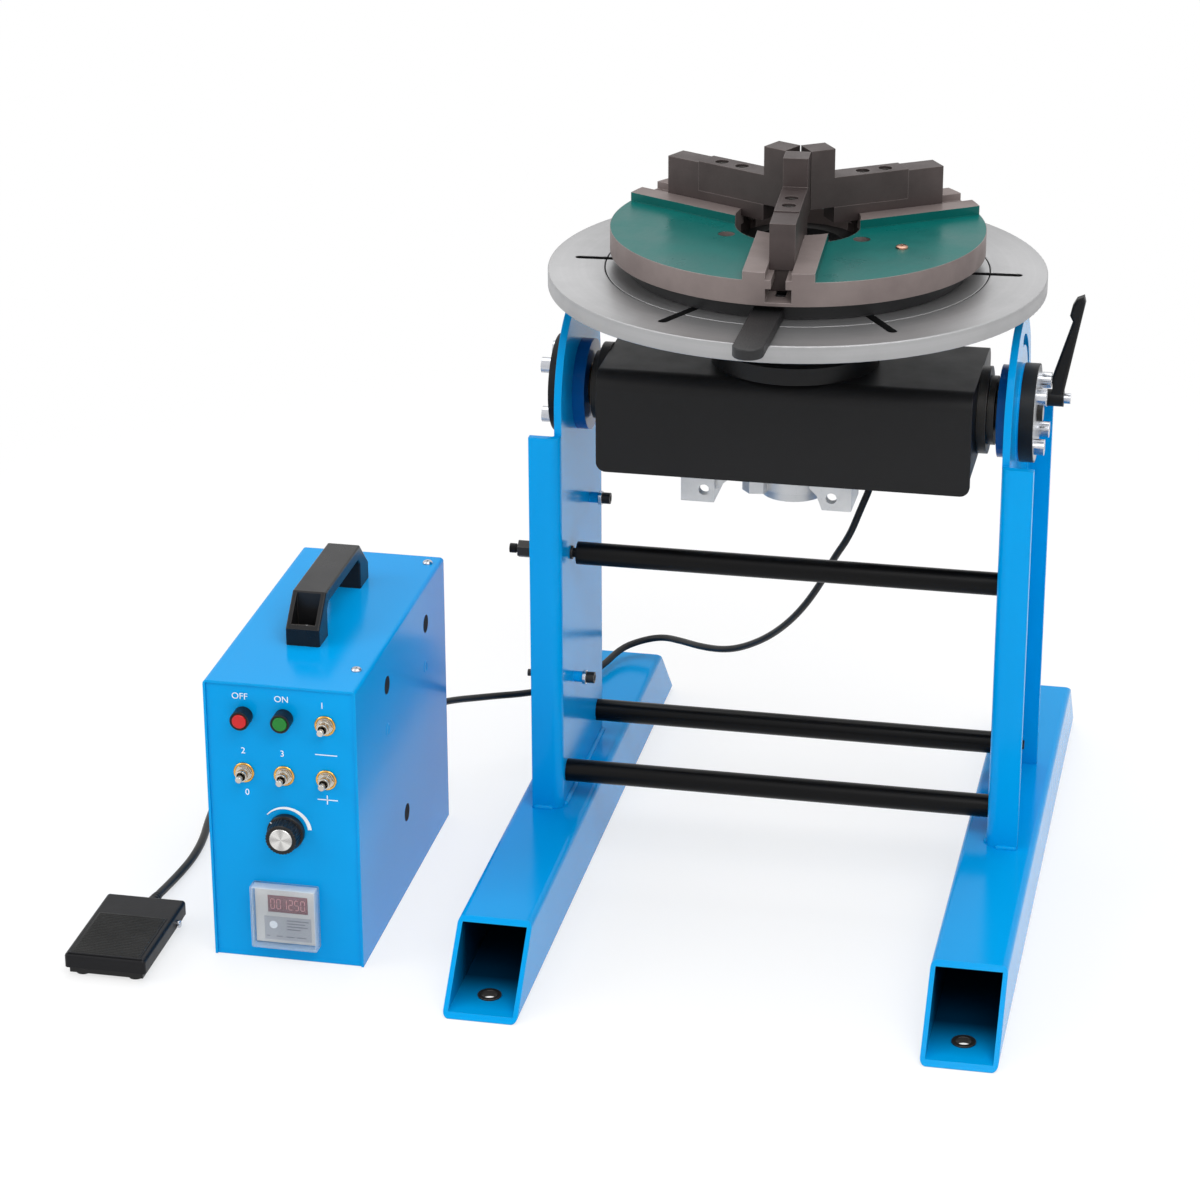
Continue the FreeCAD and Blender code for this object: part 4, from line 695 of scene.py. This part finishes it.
def freeCord(name, cord, node, body):
    centres = cordLine(name, cord["route"])
    tube = sheathTube(name, centres, cord["diameter"] / 2)
    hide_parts(node)
    if body:
        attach(tube, body)
    print(name, "measures", round(lineLength(centres), 4))
    return tube, centres


motorTube, motorLine = freeCord("motorCableSheath", motorCable, "motor_cable", None)
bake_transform(motorTube)
pedalTube, pedalLine = freeCord("pedalCableSheath", pedalCable, "pedal_cable", "stand")
print("cords laid")


def ringPart(shape, inner, outer, low, high, at, lip=0.2, steps=40):
    lathe(shape, [(inner, low), (outer, low), (outer, high - lip), (outer - lip, high), (inner, high),
                  (inner, low)], at, steps)


bootStep = 0.0006
boots = {"motorEnd": {"reach": 0.026, "root": 0.0052, "tip": 0.0034, "ribs": 6},
         "boxMotorEnd": {"reach": 0.024, "root": 0.0056, "tip": 0.0034, "ribs": 6},
         "boxPedalEnd": {"reach": 0.024, "root": 0.0058, "tip": 0.0039, "ribs": 6},
         "pedalEnd": {"reach": 0.022, "root": 0.0054, "tip": 0.0039, "ribs": 5}}


def strainBoot(name, centres, body):
    # a tapered, ribbed sleeve over the first stretch of a cord
    boot = boots[name]
    run, travelled = [centres[0]], 0.0
    for before, after in zip(centres, centres[1:]):
        step = (after - before).length
        parts = max(1, round(step / bootStep))
        for part in range(1, parts + 1):
            if travelled + step * part / parts < boot["reach"]:
                run.append(before.lerp(after, part / parts))
        travelled += step
        if travelled > boot["reach"]:
            break

    def swell(along, total):
        share = along / total
        rib = 0.09 * math.cos(share * boot["ribs"] * math.tau) if 0.08 < share < 0.94 else 0.0
        return boot["root"] + (boot["tip"] - boot["root"]) * share + 0.002 * rib
    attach(sheathTube(name, run, 1.0, swell, 24, "rubber"), body)


strainBoot("motorEnd", motorLine, "head")
strainBoot("boxMotorEnd", motorLine[::-1], "stand")
strainBoot("boxPedalEnd", pedalLine[::-1], "stand")
strainBoot("pedalEnd", pedalLine, "stand")

panelFace = -258.5
knob = {"centre": mm(-359, panelFace, 116), "flutes": 30, "cut": 0.05, "capRadius": 9.4}


def spunFinish(name):
    # aluminium faced off in a lathe, with a painted sheen: dark wedges in its colour, spreading out from the
    # middle
    finish, shader = startFinish(name, metallic=1.0)
    lines = grain(finish, place(finish), 0.0006, 3.0)
    x, y, z = axes(finish, place(finish, centre=knob["centre"]))
    # painted sheen: dark wedges around the cap's middle
    paintedSheenFan = sums(finish, "COSINE", product(finish, sums(finish, "ARCTAN2", z, x), 4.0), 0.0)
    bare = blendTones(finish, spread(finish, lines, 0.0, 1.0), tone(228, 227, 224), tone(206, 205, 203))
    wire(finish, blendTones(finish, spread(finish, paintedSheenFan, 0.0, 0.6, -0.6, 1.0), bare, tone(150, 148, 146)),
         shader.inputs["Base Color"])
    wire(finish, spread(finish, lines, 0.2, 0.32), shader.inputs["Roughness"])
    shader.inputs["Anisotropic"].default_value = 0.85
    radial = put(finish, "Tangent", direction_type="RADIAL", axis="Y")
    wire(finish, radial.outputs["Tangent"], shader.inputs["Tangent"])
    return finish


def makeKnob():
    # fluted body with a bright cap, and a short white mark on its base
    shape = bmesh.new()
    lathe(shape, [(0, 0.6), (14.6, 0.6), (15, 1.0), (15, 5.9), (14.4, 6.5), (13.6, 6.5), (13.6, 6.9),
                  (12.9, 17.9), (12.2, 18.6), (9.8, 18.6), (9.5, 18.2), (0, 18.2)], Matrix.Identity(4), 180)
    for vert in shape.verts:
        if vert.co.z > 0.0066 and vert.co.xy.length > 0.011:
            turn = math.atan2(vert.co.y, vert.co.x)
            vert.co.xy *= 1 - knob["cut"] * (0.5 - 0.5 * math.cos(knob["flutes"] * turn))
    bmesh.ops.transform(shape, matrix=inPlace(knob["centre"], "-y"), verts=shape.verts)
    body = finishPiece("flutedKnob", shape, finishes["knob_plastic"], "knob", angle=28)
    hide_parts("speed_knob")
    shape = bmesh.new()
    lathe(shape, [(0, 18.2), (knob["capRadius"], 18.2), (knob["capRadius"], 18.45),
                  (knob["capRadius"] - 0.3, 18.75), (0, 18.6)], inPlace(knob["centre"], "-y"), 96)
    finishPiece("knobCap", shape, spunFinish("spunCap"), "knob")
    shape = bmesh.new()
    slab(shape, (0.9, 3.6, 0.3), inPlace(knob["centre"], "-y") @ Matrix.Rotation(math.radians(52), 4, "Z")
         @ Matrix.Translation(mm(0, 13.0, 6.75)))
    finishPiece("knobMark", shape, whitePrint, "knob", smooth=False)


makeKnob()

dial = {"centre": knob["centre"], "outer": 20.6, "inner": 17.4, "from": 6, "to": 142}


def dialArc():
    # a printed sector that narrows towards the slow end
    shape = bmesh.new()
    ends = [shape.verts.new((radius / 1000, 0, 0.00005)) for radius in (dial["inner"], dial["outer"])]
    edge = shape.edges.new(ends)
    bmesh.ops.rotate(shape, verts=ends, matrix=Matrix.Rotation(math.radians(dial["from"]), 3, "Z"))
    bmesh.ops.spin(shape, geom=ends + [edge], axis=(0, 0, 1), angle=math.radians(dial["to"] - dial["from"]),
                   steps=60)
    for vert in shape.verts:
        turn = math.degrees(math.atan2(vert.co.y, vert.co.x)) - dial["from"]
        share = turn / (dial["to"] - dial["from"])
        if vert.co.xy.length < (dial["inner"] + dial["outer"]) / 2000:
            vert.co.xy *= 1 + 0.14 * share ** 1.6
    grown = bmesh.ops.extrude_face_region(shape, geom=list(shape.faces))["geom"]
    bmesh.ops.translate(shape, verts=vertsOf(grown), vec=(0, 0, 1e-4))
    bmesh.ops.transform(shape, matrix=inPlace(dial["centre"], "-y"), verts=shape.verts)
    finishPiece("dialSector", shape, whitePrint, "stand", smooth=False)


dialArc()


def printed(name, words, tall, at):
    text = bpy.data.curves.new(name, "FONT")
    text.body = words
    text.size = tall / 690  # a capital is 0.69 of the size
    text.align_x = "CENTER"
    text.extrude = 0.00005
    text.resolution_u = 4
    holder = bpy.data.objects.new(name, text)
    mesh = bpy.data.meshes.new_from_object(holder)
    bpy.data.objects.remove(holder)
    bpy.data.curves.remove(text)
    mesh.transform(inPlace(at, "-y"))
    mesh.materials.clear()
    mesh.materials.append(whitePrint)
    piece = linked(name, mesh)
    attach(piece, "stand")


panelWords = {"stopWord": ("OFF", -393.5, 227.5), "startWord": ("ON", -359.5, 227.5),
              "oneWord": ("1", -326.5, 225), "twoWord": ("2", -392.5, 180.5), "threeWord": ("3", -360.5, 180.5),
              "zeroWord": ("0", -390.5, 144.5)}
for name, (words, x, z) in panelWords.items():
    printed(name, words, 5.2, mm(x, panelFace - 0.06, z))
shape = bmesh.new()
for size, x, z in (((18, 0.8), -324.5, 185), ((16.5, 0.8), -324.5, 146), ((0.8, 8), -324.8, 146)):
    slab(shape, (*size, 0.12), inPlace(mm(x, panelFace - 0.05, z), "-y"))
finishPiece("panelSigns", shape, whitePrint, "stand", smooth=False)
print("panel printed")

toggles = {"spots": [(-324.5, 210.5), (-392.5, 164), (-359.5, 164), (-325, 163.5)], "outer": 8.5, "inner": 6.7}
for number, (x, z) in enumerate(toggles["spots"], start=1):
    shape = bmesh.new()
    lathe(shape, [(toggles["inner"], 0.1), (toggles["outer"], 0.1), (toggles["outer"], 0.9),
                  (toggles["outer"] - 0.4, 1.3), (toggles["inner"] + 0.5, 1.3), (toggles["inner"], 0.9),
                  (toggles["inner"], 0.1)], inPlace(mm(x, panelFace, z), "-y"), 48)
    finishPiece("goldWasher%d" % number, shape, goldPlate, "stand")

counter = {"centre": mm(-362, -261.5, 41), "digits": "001250", "pitch": 5.0, "tall": 8.4, "bar": 0.75}
segments = {"0": "abcdef", "1": "bc", "2": "abged", "5": "afgcd"}


def counterFace():
    # display window with its digits, and the label under it with plain bars
    at = inPlace(counter["centre"], "-y")
    shape = bmesh.new()
    slab(shape, (33, 15, 0.5), at @ Matrix.Translation(mm(2, 10, 0.25)), 0.2)
    finishPiece("counterWindow", shape, windowRed, "stand")
    shape = bmesh.new()
    half, thick, wide = counter["tall"] / 2, counter["bar"], counter["pitch"] * 0.62
    bars = {"a": (0, half, 1), "d": (0, -half, 1), "g": (0, 0, 1), "b": (wide / 2, half / 2, 0),
            "c": (wide / 2, -half / 2, 0), "f": (-wide / 2, half / 2, 0), "e": (-wide / 2, -half / 2, 0)}
    for column, digit in enumerate(counter["digits"]):
        middle = 2 + (column - (len(counter["digits"]) - 1) / 2) * counter["pitch"]
        for letter in segments[digit]:
            x, y, level = bars[letter]
            size = (wide - thick * 0.8, thick, 0.12) if level else (thick, half - thick * 0.8, 0.12)
            slab(shape, size, at @ Matrix.Translation(mm(middle + x, 10 + y, 0.56)))
    finishPiece("counterDigits", shape, digitRed, "stand", smooth=False)
    shape = bmesh.new()
    slab(shape, (39, 21, 0.2), at @ Matrix.Translation(mm(1.5, -12, 0.1)), 0.05, 1)
    finishPiece("counterLabel", shape, labelGrey, "stand", smooth=False)
    shape = bmesh.new()
    for row, long in enumerate((18, 15, 17, 11)):
        slab(shape, (long, 0.9, 0.1), at @ Matrix.Translation(mm(0.8 + long / 2, -4.6 - row * 2.6, 0.22)))
    for column, long in enumerate((2.5, 5, 6.5, 7.5)):
        slab(shape, (long, 0.8, 0.1), at @ Matrix.Translation(mm(-15 + column * 9.2, -19.2, 0.22)))
    finishPiece("counterBars", shape, labelInk, "stand", smooth=False)
    shape = bmesh.new()
    ringPart(shape, 0.01, 3.4, 0, 0.12, at @ Matrix.Translation(mm(-10.5, -9, 0.15)), 0.02)
    finishPiece("counterSpot", shape, whitePrint, "stand", smooth=False)


counterFace()
print("counter faced")


def crossHead(shape, radius, high, at):
    # a pan head: domed rim, and a flat crown with a sunk cross
    lathe(shape, [(radius, 0), (radius, high * 0.35), (radius * 0.93, high * 0.72), (radius * 0.72, high)], at)
    outer = circle(shape, 40, radius * 0.72)
    inner = circle(shape, 12, 1.0)
    long, wide = radius * 0.5, radius * 0.12
    corners = ((long, -wide), (long, wide), (wide, wide))
    for vert in inner:
        step = round(math.degrees(math.atan2(vert.co.y, vert.co.x)) / 30) % 12
        quarter, corner = divmod(step + 1, 3)
        turn = Matrix.Rotation(quarter * math.pi / 2, 2)
        vert.co.xy = (turn @ Vector(corners[corner])) / 1000
    sinkRecess(shape, outer, inner, high, high * 0.5, at)


def screws(head, name, spots, radius, high, finish, body):
    shape = bmesh.new()
    for spot in spots:
        head(shape, radius, high, inPlace(spot))
    finishPiece(name, shape, finish, body)


jawHeads = {"reaches": (56, 76), "seat": 585, "radius": 5.2, "high": 6.4}
for number, turn in enumerate(railTurns, start=1):
    spots = [(aboutTable(turn) @ Vector(mm(reach, 0, jawHeads["seat"])))[:] for reach in jawHeads["reaches"]]
    screws(capHead, "jawScrews%d" % number, spots, jawHeads["radius"], jawHeads["high"],
           finishes["black_steel"], "jaw_%d" % number)
box = {"side": -299, "top": 242, "handle": 246}
deckScrew = (aboutTable(-26.8) @ Vector(mm(100, 0, 554)))[:]
screws(crossHead, "deckScrew", [deckScrew], 5.0, 2.3, copperPlate, "table")
screws(crossHead, "boxTopScrews", [mm(-309, -219, box["top"]), mm(-309, 9, box["top"])], 4.2, 2.3,
       finishes["zinc_steel"], "stand")
screws(capHead, "handleScrews", [mm(-363.8, -169, box["handle"]), mm(-363.8, -42, box["handle"])], 4.6, 8.5,
       finishes["zinc_steel"], "stand")

# bright turned faces of the bearing caps and of the two shaft ends
bearing = {"face": 197, "inner": 7.2, "outer": 38.6, "thick": 0.25, "endFace": 201.5, "end": 6.4,
           "middle": 19.5, "level": 408.5}
for side, outward in (("left", -1), ("right", 1)):
    facing = "x" if outward > 0 else "-x"
    shape = bmesh.new()
    ringPart(shape, bearing["inner"], bearing["outer"], 0, bearing["thick"],
             inPlace(mm(outward * bearing["face"], bearing["middle"], bearing["level"]), facing), 0.1, 72)
    finishPiece(side + "CapFacing", shape, finishes["bare_steel"], "stand")
    shape = bmesh.new()
    lathe(shape, [(0, 0), (bearing["end"], 0), (bearing["end"], 0.15), (bearing["end"] - 0.5, 0.3), (2.4, 0.3),
                  (0, 0.12)],
          inPlace(mm(outward * bearing["endFace"], bearing["middle"], bearing["level"]), facing), 56)
    finishPiece(side + "TrunnionFacing", shape, finishes["bare_steel"], "head")
# washers under the screws in the left post's two bosses
shape = bmesh.new()
for y, z in ((51, 296), (-17, 160.7)):
    ringPart(shape, 4.9, 6.0, 0.05, 2.85, inPlace(mm(-169.5, y, z), "x"))
finishPiece("bossWashers", shape, finishes["zinc_steel"], "stand")

# the two shallow dimples of the cover's side
shape = bmesh.new()
for y, z in ((-43, 170), (-167, 168)):
    lathe(shape, [(5.4, 0), (5.1, 0.4), (3.6, 0.35), (3.2, 0.05), (0, 0.05)],
          inPlace(mm(box["side"], y, z), "x"), 32)
finishPiece("sideDimples", shape, finishes["blue_paint"], "stand")

# dark discs that lie on the sheet where the cover's side has its three wide holes, as painted shade for the
# holes' dark insides
sideHoles = {"radius": 7.6, "spots": [(-166, 207), (-40, 208), (-115, 69)], "depth": 0.14}
shape = bmesh.new()
for y, z in sideHoles["spots"]:
    rim = sideHoles["radius"]
    lathe(shape, [(0, 0.02), (rim, 0.02), (rim, sideHoles["depth"]), (0, sideHoles["depth"])],
          inPlace(mm(box["side"], y, z), "x"))
finishPiece("sideHoleShade", shape, holeShadeFinish, "stand")

pedal = {"middle": -495.7, "front": -321.7, "top": 20.5, "pitch": 2.6, "ribs": 26, "wide": 55}


def pedalPad():
    # ribbed pad and lip on the tread, and the bright end of its hinge pin
    shape = bmesh.new()
    deep = pedal["pitch"] * pedal["ribs"]
    rear = pedal["front"] + 5.0 + deep
    slab(shape, (pedal["wide"] + 3, deep + 1.5, 0.5),
         inPlace(mm(pedal["middle"], rear - deep / 2, pedal["top"] + 0.2)), 0.2)
    for rib in range(pedal["ribs"]):
        y = pedal["front"] + 6.1 + rib * pedal["pitch"]
        slab(shape, (pedal["wide"], 1.2, 0.9), inPlace(mm(pedal["middle"], y, pedal["top"] + 0.55)), 0.35)
    finishPiece("treadPad", shape, finishes["rubber"], "pedal")
    shape = bmesh.new()
    slab(shape, (pedal["wide"] + 7, 1.6, 1.4),
         inPlace(mm(pedal["middle"], pedal["front"] + 2.2, pedal["top"] + 0.5)), 0.6, 3)
    finishPiece("treadLip", shape, finishes["tread_black"], "pedal")
    shape = bmesh.new()
    lathe(shape, [(2.0, 0), (3.1, 0.1), (3.1, 2.3), (2.5, 3.0), (0, 3.2)], inPlace(mm(-461.95, -238, 11), "x"))
    finishPiece("pinEnd", shape, finishes["zinc_steel"], "stand")


pedalPad()
print("screws and pad made")

welds = {"middle": 19.5, "half": 78, "radius": 2.4, "height": 60.6, "side": 176.9, "ends": 86.6,
         "from": 185, "to": 203, "step": 1.1, "ripple": 4.2, "fade": 3.0}


def weldBead(name, start, end):
    # a rippled bead that thins out at both ends
    start, end = Vector(start), Vector(end)
    count = max(8, round((end - start).length / (welds["step"] / 1000)))
    run = [start.lerp(end, step / count) for step in range(count + 1)]
    ripple, fade = mm(welds["ripple"], welds["fade"])

    def swell(along, total):
        wave = 0.9 + 0.14 * abs(math.sin(along / ripple * math.pi))
        return wave * min(1.0, 0.35 + along / fade, 0.35 + (total - along) / fade)
    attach(sheathTube(name, run, welds["radius"] / 1000, swell, 10, "blue_paint"), "stand")


for side, outward in (("left", -1), ("right", 1)):
    middle, height = welds["middle"], welds["height"]
    weldBead(side + "PostWeld", mm(welds["side"] * outward, middle - welds["half"], height),
             mm(welds["side"] * outward, middle + welds["half"], height))
    for end, y in (("Front", middle - welds["ends"]), ("Back", middle + welds["ends"])):
        weldBead(side + end + "Weld", mm(outward * welds["from"], y, height),
                 mm(outward * welds["to"], y, height))
print("welds laid")


studio = {"floorReach": 30.0, "bendFrom": 10.0, "bend": 6.0, "bendSteps": 16, "rise": 22.0,
          "fill": 0.62, "nearWhite": 0.68, "whiteFrom": (0.55, 1.3)}


def studioFinish(name):
    # pale sweep with the faintest mottling, so that it has a surface and not one flat colour
    finish, shader = startFinish(name, roughness=0.75)
    cloud = grain(finish, place(finish), 2.5, 3.0)
    wire(finish, blendTones(finish, spread(finish, cloud, 0.0, 1.0), tone(247, 247, 248), tone(252, 252, 252)),
         shader.inputs["Base Color"])
    relief(finish, shader, [(grain(finish, place(finish), 0.01, 3.0), 0.02, 0.0004)], 0.0001)
    apart = put(finish, "VectorMath", operation="LENGTH")
    wire(finish, place(finish), apart.inputs[0])
    white = put(finish, "Emission")
    blend = put(finish, "MixShader")
    share = spread(finish, apart.outputs["Value"], studio["nearWhite"], 1.0, *studio["whiteFrom"])
    wire(finish, product(finish, seen(finish), share), blend.inputs[0])
    wire(finish, shader.outputs[0], blend.inputs[1])
    wire(finish, white.outputs[0], blend.inputs[2])
    wire(finish, blend.outputs[0], finish.node_tree.nodes["Material Output"].inputs["Surface"])
    return finish


def seen(owner):
    # 1 where the lens, a reflection or a clear part looks at it
    path = put(owner, "LightPath")
    either = sums(owner, "MAXIMUM", path.outputs["Is Camera Ray"], path.outputs["Is Glossy Ray"])
    return sums(owner, "MAXIMUM", either, path.outputs["Is Transmission Ray"])


def makeFloor():
    # one wide sweep, just under the feet, carried up behind in a long curve
    shape = bmesh.new()
    reach, flat, bend = studio["floorReach"], studio["bendFrom"], studio["bend"]
    level = cadBox[0][2] - 0.0004
    outline = [(-reach, level), (flat, level)]
    for step in range(1, studio["bendSteps"] + 1):
        turn = math.radians(step * 90 / studio["bendSteps"])
        outline.append((flat + bend * math.sin(turn), level + bend * (1 - math.cos(turn))))
    outline.append((flat + bend, level + studio["rise"]))
    points = [shape.verts.new((-reach, y, z)) for y, z in outline]
    edges = [shape.edges.new(pair) for pair in zip(points, points[1:])]
    grown = bmesh.ops.extrude_edge_only(shape, edges=edges)["geom"]
    bmesh.ops.translate(shape, verts=vertsOf(grown), vec=(2 * reach, 0, 0))
    bmesh.ops.recalc_face_normals(shape, faces=shape.faces)
    mesh = meshOf("studioSweep", shape)
    for face in mesh.polygons:
        face.use_smooth = True
    sweep = linked("studioSweep", mesh)
    mesh.materials.append(studioFinish("studioSweep"))


def softLight(name, spot, aim, size, watts):
    lamp = bpy.data.lights.new(name, "AREA")
    lamp.shape = "RECTANGLE"
    lamp.size, lamp.size_y = size
    lamp.energy = watts
    holder = linked(name, lamp)
    holder.location = spot
    holder.rotation_euler = (Vector(aim) - Vector(spot)).to_track_quat("-Z", "Y").to_euler()


def lightWorld(name):
    # a faint even sky: white to the lens, softer on the object
    sky = bpy.data.worlds.new(name)
    scene.world = sky
    sky.use_nodes = True
    ground = sky.node_tree.nodes["Background"]
    ground.inputs["Color"].default_value = (1, 1, 1, 1)
    wire(sky, spread(sky, seen(sky), studio["fill"], 1.0, 0.0, 1.0), ground.inputs["Strength"])


makeFloor()
lightWorld("studioSky")
softLight("keyLight", (1.2, -2.2, 3.0), (0, 0, 0.3), (2.6, 1.8), 62)
softLight("leftLight", (-3.0, -1.6, 2.0), (-0.1, 0, 0.3), (2.0, 2.0), 34)
softLight("topLight", (0.0, 0.8, 3.4), (0, 0, 0.3), (3.0, 2.4), 44)
print("studio lit")
